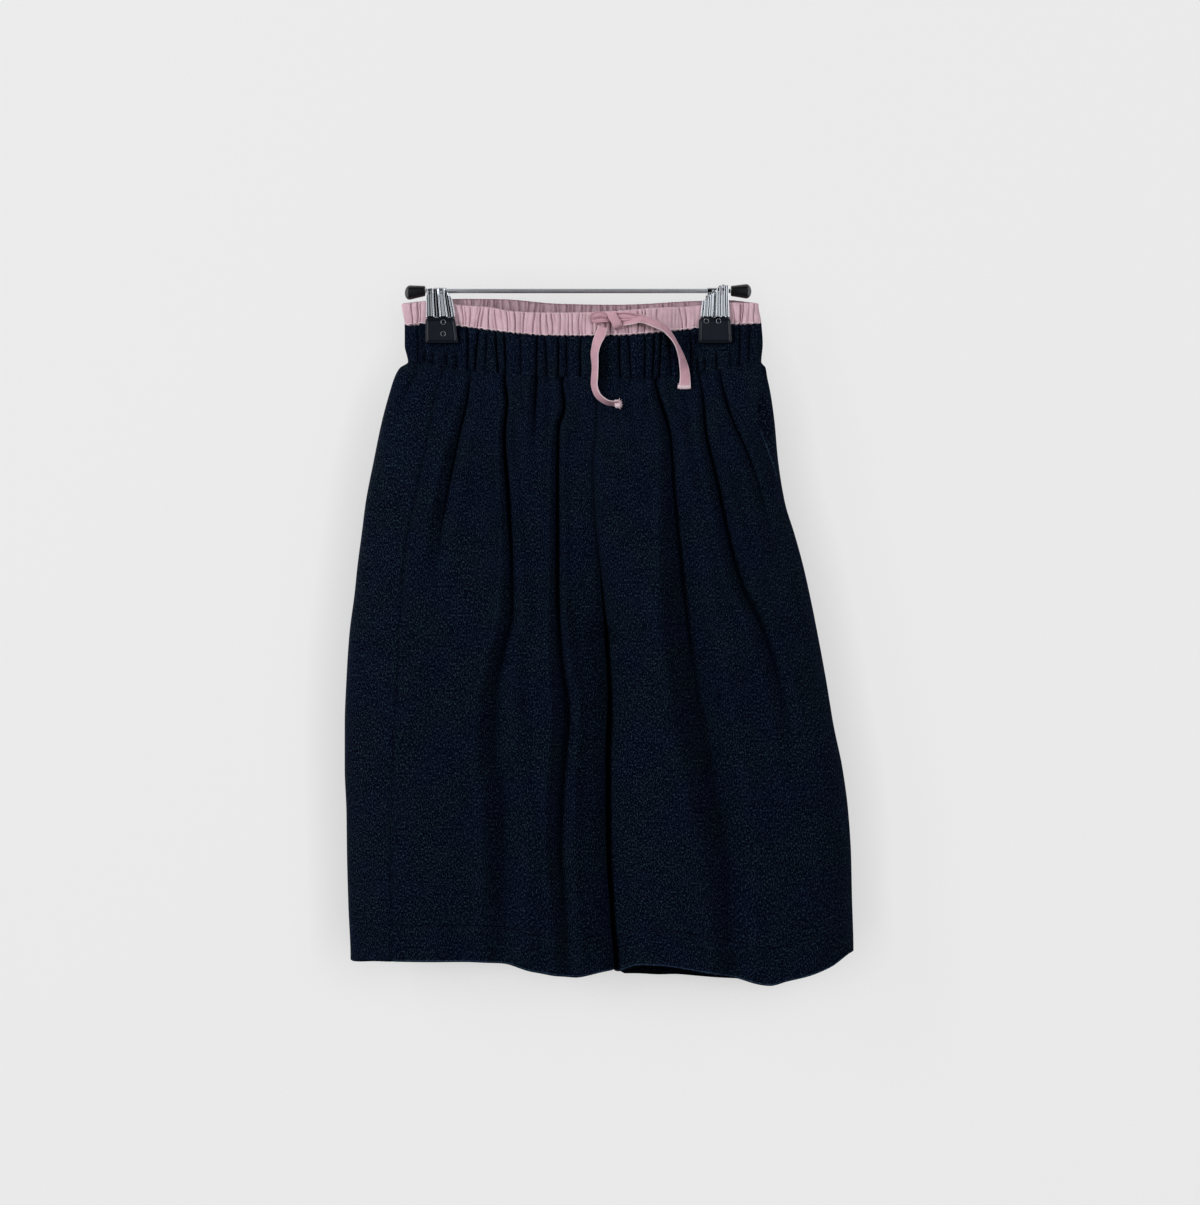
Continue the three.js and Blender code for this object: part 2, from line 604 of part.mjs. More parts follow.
// A point of a band, which runs over the centre with no seam there.
function bandPoint({ side, x, level, relief, inset, z }) {
  const [right, left] = [OUTLINE.right(level), OUTLINE.left(level)];
  const [middle, half] = [(right + left) / 2, (left - right) / 2];
  const pinch = pinchAt(x, level);
  const round = roundOff(Math.min(x - right, left - x), SECTION.round(level));
  const depth = mix(SECTION[side](level), JAW_DEPTH, pinch) - inset + relief * (1 - pinch);
  const y = Math.max(depth * round, SEAM_GAP / 2);
  return [middle + (x - middle) * ((half - inset) / half), side === "front" ? -y : y, z];
}

const CASING_ROWS = [
  { share: 0, gather: 0.6, puff: -0.4 }, { share: 0.4, gather: 1, puff: CASING_PUFF },
  { share: 1, gather: 0.8, puff: -0.3 },
];
const WAISTBAND_ROWS = [
  { share: 0, gather: 0.7, puff: -0.3 }, { share: 0.3, gather: 1, puff: WAISTBAND_PUFF },
  { share: 0.7, gather: 1, puff: WAISTBAND_PUFF }, { share: 1, gather: 0.8, puff: 0 },
];

function casing(side, gathers) {
  return bandWall({
    side, gathers, depth: GATHER_DEPTH.casing, rise: GATHER_RISE.casing, upper: "top", lower: "seam",
    levels: [CASING_TOP, CASING_SEAM], rows: CASING_ROWS, thick: CASING_WALL,
  });
}

function waistband(side, gathers) {
  return bandWall({
    side, gathers, depth: GATHER_DEPTH.waistband, rise: GATHER_RISE.waistband, upper: "seam", lower: "waist",
    levels: [CASING_SEAM, WAIST_SEAM], rows: WAISTBAND_ROWS, thick: WAISTBAND_WALL,
  });
}

// The level that a height on the front belongs to, found by stepping towards it.
const LEVEL_STEPS = 8;
function frontLevel(x, z) {
  const waist = FRONT_EDGES.waist(x);
  if (z > waist) {
    const seam = FRONT_EDGES.seam(x);
    return Math.min(mix(CASING_SEAM, WAIST_SEAM, (seam - z) / (seam - waist)), CASING_TOP);
  }
  let level = z;
  for (let step = 0; step < LEVEL_STEPS; step += 1) {
    level = z - (waist - SEAM_GAP - WAIST_SEAM) * easeBetween(-125, WAIST_SEAM, level);
  }
  return level;
}

// How far the crowns stand out of a piece of the front: casing, waistband or panel.
function crownRise(x, z) {
  if (z > FRONT_EDGES.seam(x)) return GATHER_RISE.casing + CASING_PUFF;
  return z > FRONT_EDGES.waist(x) ? GATHER_RISE.waistband + WAISTBAND_PUFF : CROWN_RISE;
}

// How far out the front's outer face lies at a place, at its gathers' crowns.
function frontFace(x, z) {
  const level = frontLevel(x, z);
  const pinch = pinchAt(x, level);
  return mix(SECTION.front(level), JAW_DEPTH, pinch) + crownRise(x, z) * (1 - pinch);
}

// A flat tape laid over the front along its middle places.
function tieEnd(places) {
  const curve = (key) => places.map((place) => place[key]);
  const [xs, zs] = [curve("x"), curve("z")];
  const across = places.map((_, i) => {
    const [before, after] = [Math.max(i - 1, 0), Math.min(i + 1, places.length - 1)];
    const [dx, dz] = [xs[after] - xs[before], zs[after] - zs[before]];
    const length = Math.hypot(dx, dz);
    return { x: -dz / length, z: dx / length };
  });
  const columns = [-0.5, 0, 0.5];
  const rows = places.map((_, index) => index);
  const edgeAt = (row, column) => {
    const { x, z, width } = places[row];
    return [x + across[row].x * width * column, z + across[row].z * width * column];
  };
  return wall(columns, rows, (column, row, isInner) => {
    const [x, z] = edgeAt(row, column);
    const seat = Math.max(...columns.map((share) => frontFace(...edgeAt(row, share))));
    return [x, -seat - TIE_SEAT - (isInner ? 0 : TIE_THICK), z];
  });
}

function positionsOnly(geometry) {
  geometry.deleteAttribute("normal");
  geometry.deleteAttribute("uv");
  return mergeVertices(geometry, 1e-4);
}

// Joins closed geometries into one.
function joined(wasm, geometries) {
  const solids = geometries.map((geometry) => {
    const merged = positionsOnly(geometry);
    return new wasm.Manifold(new wasm.Mesh({
      numProp: 3,
      vertProperties: new Float32Array(merged.attributes.position.array),
      triVerts: new Uint32Array(merged.index.array),
    }));
  });
  const mesh = solids.reduce((sum, solid) => sum.add(solid)).getMesh();
  const geometry = new THREE.BufferGeometry();
  geometry.setAttribute("position", new THREE.BufferAttribute(mesh.vertProperties, 3));
  geometry.setIndex([...mesh.triVerts]);
  return geometry;
}

// The knot: a rounded loop, and the strap that crosses it.
function tieKnot(wasm) {
  const seat = frontFace(KNOT.x, KNOT.z) + SEAM_GAP;
  const lobe = new THREE.SphereGeometry(1, 12, 8);
  lobe.scale(KNOT.width * 0.36, KNOT.depth / 2, KNOT.height / 2);
  lobe.translate(KNOT.x - KNOT.width * 0.14, -seat - KNOT.depth / 2, KNOT.z);
  const strap = new THREE.SphereGeometry(1, 10, 6);
  strap.scale(KNOT.width * 0.26, KNOT.depth * 0.42, KNOT.height * 0.52);
  strap.rotateY(-0.35);
  strap.translate(KNOT.x + KNOT.width * 0.24, -seat - KNOT.depth * 0.44, KNOT.z - 0.6);
  return joined(wasm, [lobe, strap]);
}

function hangerBar() {
  const geometry = new THREE.CylinderGeometry(BAR.radius, BAR.radius, BAR.left - BAR.right, 12);
  geometry.rotateZ(Math.PI / 2);
  geometry.translate((BAR.left + BAR.right) / 2, 0, 0);
  return geometry;
}

// A knob turned about the bar's axis, widening towards its free end.
function barKnob(innerFace, out) {
  const profile = [
    [0, 0], [KNOB.inner, 0], [KNOB.outer, KNOB.length - KNOB.edge * 2],
    [KNOB.outer, KNOB.length - KNOB.edge], [KNOB.outer - KNOB.edge * 0.6, KNOB.length], [0, KNOB.length],
  ].map(([radius, along]) => new THREE.Vector2(radius, along));
  const geometry = new THREE.LatheGeometry(profile, 14);
  geometry.rotateZ(out > 0 ? -Math.PI / 2 : Math.PI / 2);
  geometry.translate(innerFace, 0, 0);
  return geometry;
}

// The sleeve that holds a clip on the bar.
function clipSleeve(x) {
  const { width, half, bore } = SLEEVE;
  const shape = new THREE.Shape();
  shape.absarc(0, 0, half, 0, Math.PI * 2);
  const hole = new THREE.Path();
  hole.absarc(0, 0, bore, 0, Math.PI * 2);
  shape.holes.push(hole);
  const geometry = new THREE.ExtrudeGeometry(shape, { depth: width, bevelEnabled: false, curveSegments: 7 });
  geometry.rotateY(Math.PI / 2);
  geometry.translate(x - width / 2, 0, 0);
  return geometry;
}

function clipPivot(x) {
  const geometry = new THREE.CylinderGeometry(PIVOT.radius, PIVOT.radius, PIVOT.width, 16);
  geometry.rotateZ(Math.PI / 2);
  geometry.scale(1, PIVOT.half / PIVOT.radius, 1);
  geometry.translate(x, 0, PIVOT.z);
  return geometry;
}

// A fluted plate between the two edges of its outline.
function clipPlate(clip, side) {
  const edges = PLATE_EDGES[clip];
  const top = clip === "right" ? 1.6 : 3.4;
  const levels = [-19, -12, -6, -3, top];
  const columns = Array.from({ length: PLATE_RIBS * 2 + 1 }, (_, index) => index);
  const towards = side === "front" ? -1 : 1;
  return wall(columns, levels, (column, level, isInner) => {
    const x = mix(edges.right(level), edges.left(level), column / (PLATE_RIBS * 2));
    const rib = column % 2 ? RIB_HEIGHT : 0;
    const off = PLATE_STAND.off(level) + (isInner ? 0 : PLATE_WALL + rib);
    return [x, towards * off, level];
  });
}

// A moulded pad, wider at its foot, with rounded corners.
function clipPad(clip, side) {
  const { topRight, topLeft, bottomRight, bottomLeft } = PAD_EDGES[clip];
  const { top, bottom, thick, corner, bevel } = PAD;
  const corners = [
    [topRight + bevel, top - bevel], [topLeft - bevel, top - bevel],
    [bottomLeft - bevel, bottom + bevel], [bottomRight + bevel, bottom + bevel],
  ];
  const shape = new THREE.Shape();
  corners.forEach(([x, z], index) => {
    const before = corners[(index + 3) % 4];
    const after = corners[(index + 1) % 4];
    const start = towardsPoint([x, z], before, corner);
    const end = towardsPoint([x, z], after, corner);
    if (index === 0) shape.moveTo(...start);
    else shape.lineTo(...start);
    shape.quadraticCurveTo(x, z, ...end);
  });
  shape.closePath();
  const geometry = new THREE.ExtrudeGeometry(shape, {
    depth: thick - 2 * bevel, bevelEnabled: true, bevelThickness: bevel, bevelSize: bevel,
    bevelSegments: 1, curveSegments: 3,
  });
  geometry.rotateX(Math.PI / 2);
  const inner = JAW_DEPTH + SEAM_GAP;
  geometry.translate(0, side === "front" ? -inner - bevel : inner + thick - bevel, 0);
  return geometry;
}

function towardsPoint([x, z], [toX, toZ], distance) {
  const length = Math.hypot(toX - x, toZ - z);
  return [x + ((toX - x) * distance) / length, z + ((toZ - z) * distance) / length];
}

function addPiece(group, name, geometry, finish) {
  const mesh = new THREE.Mesh(geometry, new THREE.MeshStandardMaterial(COLOURS[finish]));
  mesh.name = name;
  group.add(mesh);
}

function addCloth(group) {
  addPiece(group, "front_panel_right", frontPanelRight(), "navy");
  addPiece(group, "front_panel_left", frontPanelLeft(), "navy");
  addPiece(group, "back_panel_right", backPanelRight(), "navy");
  addPiece(group, "back_panel_left", backPanelLeft(), "navy");
  addPiece(group, "waistband_front", waistband("front", WAISTBAND_GATHERS), "navy");
  addPiece(group, "waistband_back", waistband("back", spreadGathers(SPREAD_GATHERS.waistbandBack)), "navy");
  addPiece(group, "casing_front", casing("front", spreadGathers(SPREAD_GATHERS.casingFront)), "pink");
  addPiece(group, "casing_back", casing("back", spreadGathers(SPREAD_GATHERS.casingBack)), "pink");
}

function addTie(group, wasm) {
  addPiece(group, "tie_knot", tieKnot(wasm), "pink");
  addPiece(group, "tie_end_right", tieEnd(TIE_END_RIGHT), "pink");
  addPiece(group, "tie_end_left", tieEnd(TIE_END_LEFT), "pink");
}

function addHanger(group) {
  addPiece(group, "hanger_bar", hangerBar(), "chrome");
  addPiece(group, "bar_knob_right", barKnob(BAR.right - SEAM_GAP, -1), "blackRubber");
  addPiece(group, "bar_knob_left", barKnob(BAR.left + SEAM_GAP, 1), "blackRubber");
  for (const [clip, x] of [["right", CLIP_RIGHT_X], ["left", CLIP_LEFT_X]]) {
    addPiece(group, `clip_${clip}_sleeve`, clipSleeve(x), "chrome");
    addPiece(group, `clip_${clip}_pivot`, clipPivot(x), "chrome");
    for (const side of ["front", "back"]) {
      addPiece(group, `clip_${clip}_plate_${side}`, clipPlate(clip, side), "chrome");
      addPiece(group, `clip_${clip}_pad_${side}`, clipPad(clip, side), "blackRubber");
    }
  }
}

const wasm = await Module();
wasm.setup();

const shorts = new THREE.Group();
addCloth(shorts);
addTie(shorts, wasm);
addHanger(shorts);

export default shorts;
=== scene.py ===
import logging
import math
from collections.abc import Sequence
from dataclasses import dataclass, field
from enum import Enum

import bpy
import numpy as np
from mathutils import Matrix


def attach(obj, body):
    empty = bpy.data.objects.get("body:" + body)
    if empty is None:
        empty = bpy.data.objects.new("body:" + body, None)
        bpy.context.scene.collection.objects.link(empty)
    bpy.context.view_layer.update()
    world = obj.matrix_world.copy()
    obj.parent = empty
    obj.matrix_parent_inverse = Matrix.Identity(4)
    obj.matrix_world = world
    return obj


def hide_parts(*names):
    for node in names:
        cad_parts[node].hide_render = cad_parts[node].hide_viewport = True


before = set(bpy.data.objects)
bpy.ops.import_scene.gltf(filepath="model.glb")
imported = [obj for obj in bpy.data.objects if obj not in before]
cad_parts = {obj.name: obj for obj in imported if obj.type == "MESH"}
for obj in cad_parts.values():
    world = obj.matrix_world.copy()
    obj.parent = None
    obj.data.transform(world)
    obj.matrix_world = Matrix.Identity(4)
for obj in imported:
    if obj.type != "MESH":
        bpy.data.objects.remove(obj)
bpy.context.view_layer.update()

LOG = logging.getLogger("shorts")
MM = 0.001
BODY = "root"
CUT_MAP = "cut"
Values = float | np.ndarray


class Part(Enum):
    """A choice whose name is also a word in tables and in the names of pieces."""

    @property
    def word(self) -> str:
        """The name in small letters."""
        return self.name.lower()


class Side(Part):
    """The two faces of the garment. The front faces -Y."""

    FRONT = -1
    BACK = 1


class Leg(Part):
    """The wearer's legs. The left one is at +X."""

    RIGHT = -1
    LEFT = 1


class Table:
    """A short table with named columns, each read along a smooth curve that never swings past a row."""

    def __init__(self, names: str, rows: Sequence[Sequence[float]]) -> None:
        """Keeps the rows in order of their first column.

        Args:
            names: The names of the columns, the place's own name first.
            rows: A row of numbers for each place, in millimetres.
        """
        ordered = np.array(sorted(rows), dtype=float)
        self.places = ordered[:, 0]
        self.columns = dict(zip(names.split()[1:], ordered[:, 1:].T))
        self.slopes = {name: self._slopes(values) for name, values in self.columns.items()}

    def _slopes(self, values: np.ndarray) -> np.ndarray:
        """Slope of a column at each row.

        Args:
            values: The column.

        Returns:
            The harmonic mean of the steps at each side, or 0 at a peak, a dip and both ends.
        """
        steps = np.diff(values) / np.diff(self.places)
        before, after = steps[:-1], steps[1:]
        same = before * after > 0
        total = np.where(same, before + after, 1)
        return np.concatenate([[0], np.where(same, 2 * before * after / total, 0), [0]])

    def at(self, name: str, place: Values) -> Values:
        """Reads a column.

        Args:
            name: The column.
            place: The place or places along the table.

        Returns:
            The column's value at each place.
        """
        values, slopes = self.columns[name], self.slopes[name]
        inside = np.clip(place, self.places[0], self.places[-1])
        i = np.clip(np.searchsorted(self.places, inside, side="right") - 1, 0, len(self.places) - 2)
        span = self.places[i + 1] - self.places[i]
        t = (inside - self.places[i]) / span
        bend = values[i + 1] - values[i]
        a = slopes[i] * span - bend
        b = bend - slopes[i + 1] * span
        return values[i] + t * bend + t * (1 - t) * (a * (1 - t) + b * t)


# Cloth walls as they show. The cloth's own weight of thread is doubled where it is turned up or folded.
PANEL_WALL = 1.1
HEM_WALL = 2.0
WAISTBAND_WALL = 1.8
CASING_WALL = 1.8
SEAM_OVERLAP = 0.15
LEAST_DEPTH = 0.15

# Nominal levels that the shape is worked out from.
CASING_TOP = -10.0
CASING_SEAM = -24.0
WAIST_SEAM = -50.0
CROTCH = -244.0
HEM_STITCH = -446.0
HEM = -470.0
# The waist seam's curve fades out down to here, and the hem's up to here.
WAIST_BEND_FOOT = -125.0
HEM_BEND_TOP = -380.0

# Where each clip grips, how far out the gripped cloth lies, and how the grip fades away from it.
CLIP_X = {Leg.RIGHT: -97.0, Leg.LEFT: 94.5}
JAW_DEPTH = 2.8
PINCH_FLAT = 13.5
PINCH_REACH = 22.0
PINCH_OUTSIDE = 0.82
JAW_REACH = 12.0
JAW_FOOT = -39.0

OUTLINE = Table("z right left", [
    (CASING_TOP, -123.8, 126), (CASING_SEAM, -121.7, 128), (-38, -121.7, 129), (WAIST_SEAM, -119.4, 128),
    (-54, -125, 131), (-60, -128.5, 132), (-72, -132.4, 134.5), (-92, -137.8, 137.3), (-118, -143.2, 139.7),
    (-148, -149, 144.5), (-170, -151.8, 151.2), (-191, -154.6, 157), (-212, -156.8, 161.8),
    (-240, -160.4, 167.4), (-272, -162.5, 173.3), (-304, -163.7, 178.6), (-334, -163.7, 184.8),
    (-364, -162.5, 188.8), (-395, -162.1, 190.8), (-433, -161.1, 191.5), (HEM, -159.6, 192.5),
])
SECTION = Table("z front back round pinch", [
    (CASING_TOP, 13, 8, 7, 1), (CASING_SEAM, 13.5, 8.5, 7, 1), (-40, 14, 9, 7, 1),
    (WAIST_SEAM, 15, 10.5, 9, 0.86), (-61, 18.5, 15, 16, 0.6), (-86, 22, 20, 28, 0.24), (-127, 25, 24, 42, 0),
    (-184, 28, 28, 52, 0), (CROTCH, 31, 31, 58, 0), (-345, 31, 32, 62, 0), (HEM, 29, 31, 64, 0),
])
CENTRE = Table("z x left_over turn gap stagger", [
    (WAIST_SEAM, 13, 0.97, 10, 0, 0), (-87, 13.3, 0.95, 12, 0, 0), (-122, 10.5, 0.92, 16, 0, 0),
    (-157, 11.6, 0.87, 20, 0, 0), (-190, 14.7, 0.76, 26, 0, 0), (-215, 17, 0.52, 34, 0, 0),
    (-232, 18.4, 0.26, 40, 0, 0), (CROTCH, 19.3, 0, 44, 0, 0), (-279, 20.3, 0, 48, 0, 3.6),
    (-332, 18.4, 0, 50, -0.4, 6), (-384, 18.8, 0, 52, -0.4, 6), (-437, 22, 0, 54, -0.4, 6),
    (HEM, 24.6, 0, 54, -0.4, 6),
])
RIGHT_SEAM = Table("z x", [
    (WAIST_SEAM, -93.5), (-66, -97.7), (-104, -104), (-139, -111), (-174, -118), (-216, -122.2),
    (-279, -125), (-332, -127.8), (-384, -129.2), (HEM, -129.4),
])
LEFT_SEAM = Table("z inset lift", [
    (WAIST_SEAM, 3, 0), (-64, 4, 0.2), (-74, 8, 0.9), (-86, 12, 1.3), (-96, 11.6, 1.3), (-112, 7, 1),
    (-128, 3.4, 0.3), (-140, 3, 0), (HEM, 3, 0),
])
WAIST_EDGES = {
    Side.FRONT: Table("x top seam waist", [
        (-124, -9.5, -23.8, -49.7), (-105, -8, -22.6, -51.5), (-86, -10.4, -24, -54.3),
        (-65, -12.4, -27, -57), (-45, -15.9, -29.8, -59.8), (-20, -16.8, -31.6, -61),
        (5, -16.6, -31.8, -61.6), (30, -15.4, -31.3, -61.8), (55, -13.3, -29.3, -61.4),
        (80, -11.6, -26.1, -58), (105, -9.1, -23.4, -53.5), (129, -9.3, -22.4, -49.7),
    ]),
    Side.BACK: Table("x top seam waist", [
        (-124, -9.5, -23.8, -49.7), (-86, -6.3, -21, -51.5), (-55, -6, -20.8, -53.5), (-15, -9, -24, -56),
        (25, -9.8, -24.8, -56.5), (80, -7.8, -22.4, -53.5), (105, -7.2, -21.8, -51.2),
        (129, -9.3, -22.4, -49.7),
    ]),
}
HEM_EDGES = {
    (Leg.RIGHT, Side.FRONT): Table("x z", [
        (-160, -467.6), (-140, -466.2), (-77, -466), (-52, -467.4), (-30, -473), (-2, -477), (24, -473.6),
    ]),
    (Leg.RIGHT, Side.BACK): Table("x z", [
        (-160, -467.6), (-142, -467.6), (-77, -471), (-42, -472), (-16, -477.6), (0, -478.6), (24, -473.6),
    ]),
    (Leg.LEFT, Side.FRONT): Table("x z", [
        (25, -475), (42, -469.4), (54, -469.2), (89, -473.9), (110, -477.8), (133, -482.4), (145, -479.5),
        (161, -476), (175, -471), (193, -461.5),
    ]),
    (Leg.LEFT, Side.BACK): Table("x z", [
        (25, -475), (32, -478.8), (68, -480.6), (103, -483.2), (133, -484.6), (145, -480.5), (161, -476.4),
        (175, -471), (193, -461.5),
    ]),
}

# The largest folds, each a trough: rows of where it runs, how deep and how wide it is.
FOLD = "z x depth half"
FOLD_ROWS = {
    (Leg.RIGHT, Side.FRONT): [
        [
            (WAIST_SEAM, -75.6, 3, 4), (-73, -77.7, 4.4, 5), (-97, -82.3, 4.4, 6), (-132, -89, 3.6, 7),
            (-167, -95, 2.4, 8), (-200, -98.7, 0.6, 9), (-240, -100, 0, 9), (HEM, -102, 0, 10),
        ],
        [
            (WAIST_SEAM, -51.5, 3, 3), (-71, -49.7, 4.2, 3), (-101, -51.5, 4.2, 3.4), (-146, -48.7, 3.8, 4.2),
            (-195, -46.2, 2.6, 5.4), (-223, -46, 2.8, 7), (-251, -51.5, 3, 8), (-286, -57, 3.2, 10),
            (-314, -57, 3.8, 12), (-366, -51.5, 4, 13), (-420, -51.5, 3.4, 13), (HEM, -51.5, 2, 13),
        ],
        [
            (WAIST_SEAM, -29.4, 3, 4), (-70, -30, 3, 4.5), (-100, -30.6, 1.2, 5), (-130, -31, 0, 5),
            (-250, -31, 0, 5), (HEM, -29, 0, 5),
        ],
        [
            (WAIST_SEAM, -11.4, 2.6, 3), (-73, -10, 3.6, 3), (-94, -14, 3.8, 3.6), (-139, -14.7, 3.6, 4),
            (-209, -14.7, 3.2, 4.6), (-251, -13, 3, 6), (-297, -8.6, 4.4, 8), (-332, -11.2, 4, 8),
            (-384, -13, 3.6, 8), (-440, -8.4, 2.6, 8), (HEM, -7.6, 1.8, 8),
        ],
    ],
    (Leg.LEFT, Side.FRONT): [
        [
            (WAIST_SEAM, 53.6, 3, 3.5), (-69, 57, 4.2, 4), (-83, 60.6, 4.6, 5), (-97, 63.4, 4.6, 6),
            (-139, 66.5, 4.8, 9), (-209, 73, 6, 15), (-262, 80, 6.6, 18), (-314, 89, 6.6, 19),
            (-367, 99, 5.8, 17), (-402, 105, 4.6, 15), (HEM, 107, 2.6, 12),
        ],
        [
            (WAIST_SEAM, 84.6, 3, 3.5), (-69, 86.8, 4, 4), (-97, 88.6, 4.4, 5), (-139, 97.3, 4, 6),
            (-181, 106, 3.6, 7), (-206, 113.6, 3.4, 8), (-232, 126, 3.2, 8), (-279, 141, 2.6, 9),
            (-304, 146, 1.6, 9), (-350, 149, 0, 9), (HEM, 150, 0, 9),
        ],
        [
            (WAIST_SEAM, 99, 3, 3.5), (-64, 100.8, 3.6, 4), (-87, 106.6, 3.6, 4), (-115, 117.5, 3, 5),
            (-143, 127, 2, 6), (-180, 136, 0.6, 6), (-232, 148, 0, 6), (-304, 164, 0, 6), (HEM, 174, 0, 6),
        ],
    ],
    (Leg.RIGHT, Side.BACK): [
        [
            (WAIST_SEAM, -12, 3, 4), (-90, -14, 4.6, 6), (-180, -17, 4.4, 8), (-300, -21, 4.4, 10),
            (HEM, -23, 2.4, 11),
        ],
        [
            (WAIST_SEAM, -38, 3, 4), (-84, -41, 4.4, 5), (-150, -46, 3.6, 7), (-220, -50, 1, 8),
            (HEM, -56, 0, 9),
        ],
        [
            (WAIST_SEAM, -66, 3, 4), (-90, -71, 4.8, 6), (-170, -80, 5, 8), (-290, -88, 5, 12),
            (HEM, -90, 2.6, 13),
        ],
        [
            (WAIST_SEAM, -91, 2, 4), (-80, -97, 3.6, 5), (-130, -108, 3, 7), (-190, -117, 0.6, 8),
            (HEM, -121, 0, 8),
        ],
    ],
    (Leg.LEFT, Side.BACK): [
        [
            (WAIST_SEAM, 36, 3, 4), (-90, 39, 4.4, 6), (-180, 46, 4.6, 9), (-300, 52, 5, 12),
            (HEM, 55, 2.4, 13),
        ],
        [
            (WAIST_SEAM, 62, 3, 4), (-84, 66, 4.2, 5), (-150, 74, 3.4, 7), (-230, 84, 0.8, 8),
            (HEM, 92, 0, 9),
        ],
        [
            (WAIST_SEAM, 86, 2.4, 4), (-90, 93, 4.6, 6), (-170, 106, 4.8, 8), (-290, 127, 4.6, 12),
            (HEM, 134, 2.4, 13),
        ],
    ],
}
FOLDS = {face: [Table(FOLD, rows) for rows in folds] for face, folds in FOLD_ROWS.items()}

# The short fold that runs out over the right side, on the cloth that rolls round from the back.
RIGHT_SIDE_FOLD = Table(FOLD, [
    (WAIST_SEAM, -110.4, 2, 4), (-62, -115.2, 2.6, 4), (-70, -119.4, 2.2, 4), (-85, -124.6, 1, 4),
    (-105, -127, 0, 5), (-190, -138, 0, 5), (HEM, -145, 0, 5),
])
FOLD_DEPTH = 2.1
SHOULDER = 0.3
CROWN_RISE = 1.4

# Troughs of the waistband's front, with their strengths.
WAISTBAND_GATHERS = [
    (-112.4, 0.6), (-107.2, 0.7), (-101, 0.4), (-92.4, 0.6), (-85.8, 1), (-77.6, 1), (-71.1, 0.9),
    (-64, 0.4), (-56.7, 1), (-51.3, 0.9), (-40, 0.35), (-28.7, 1), (-22.6, 0.6), (-14.4, 1), (-8.2, 0.6),
    (1.6, 0.8), (14, 0.4), (29, 1), (36, 0.6), (46, 0.7), (52, 0.9), (57, 1), (64.2, 0.6), (78, 0.6),
    (83.4, 0.6), (89, 0.5), (97, 0.9), (105.5, 0.4), (112.5, 0.9), (119.4, 0.7),
]


@dataclass(frozen=True)
class Crease:
    """A crease: a soft trough along a bowed line, or a ridge where deep is below 0."""

    start_x: float
    start_z: float
    end_x: float
    end_z: float
    deep: float
    half: float
    bow: float

    def at(self, x: np.ndarray, z: np.ndarray) -> np.ndarray:
        """Depth of the crease.

        Args:
            x: Places across the garment.
            z: Levels of the same places.

        Returns:
            How far the cloth sinks there, fading out at both ends of the crease.
        """
        run, fall = self.end_x - self.start_x, self.end_z - self.start_z
        length = math.hypot(run, fall)
        along = ((x - self.start_x) * run + (z - self.start_z) * fall) / length**2
        across = ((x - self.start_x) * fall - (z - self.start_z) * run) / length
        across = across - self.bow * 4 * along * (1 - along)
        fade = ease(-0.12, 0.2, along) * ease(1.12, 0.6, along)
        return self.deep * fade * bell(across, self.half)


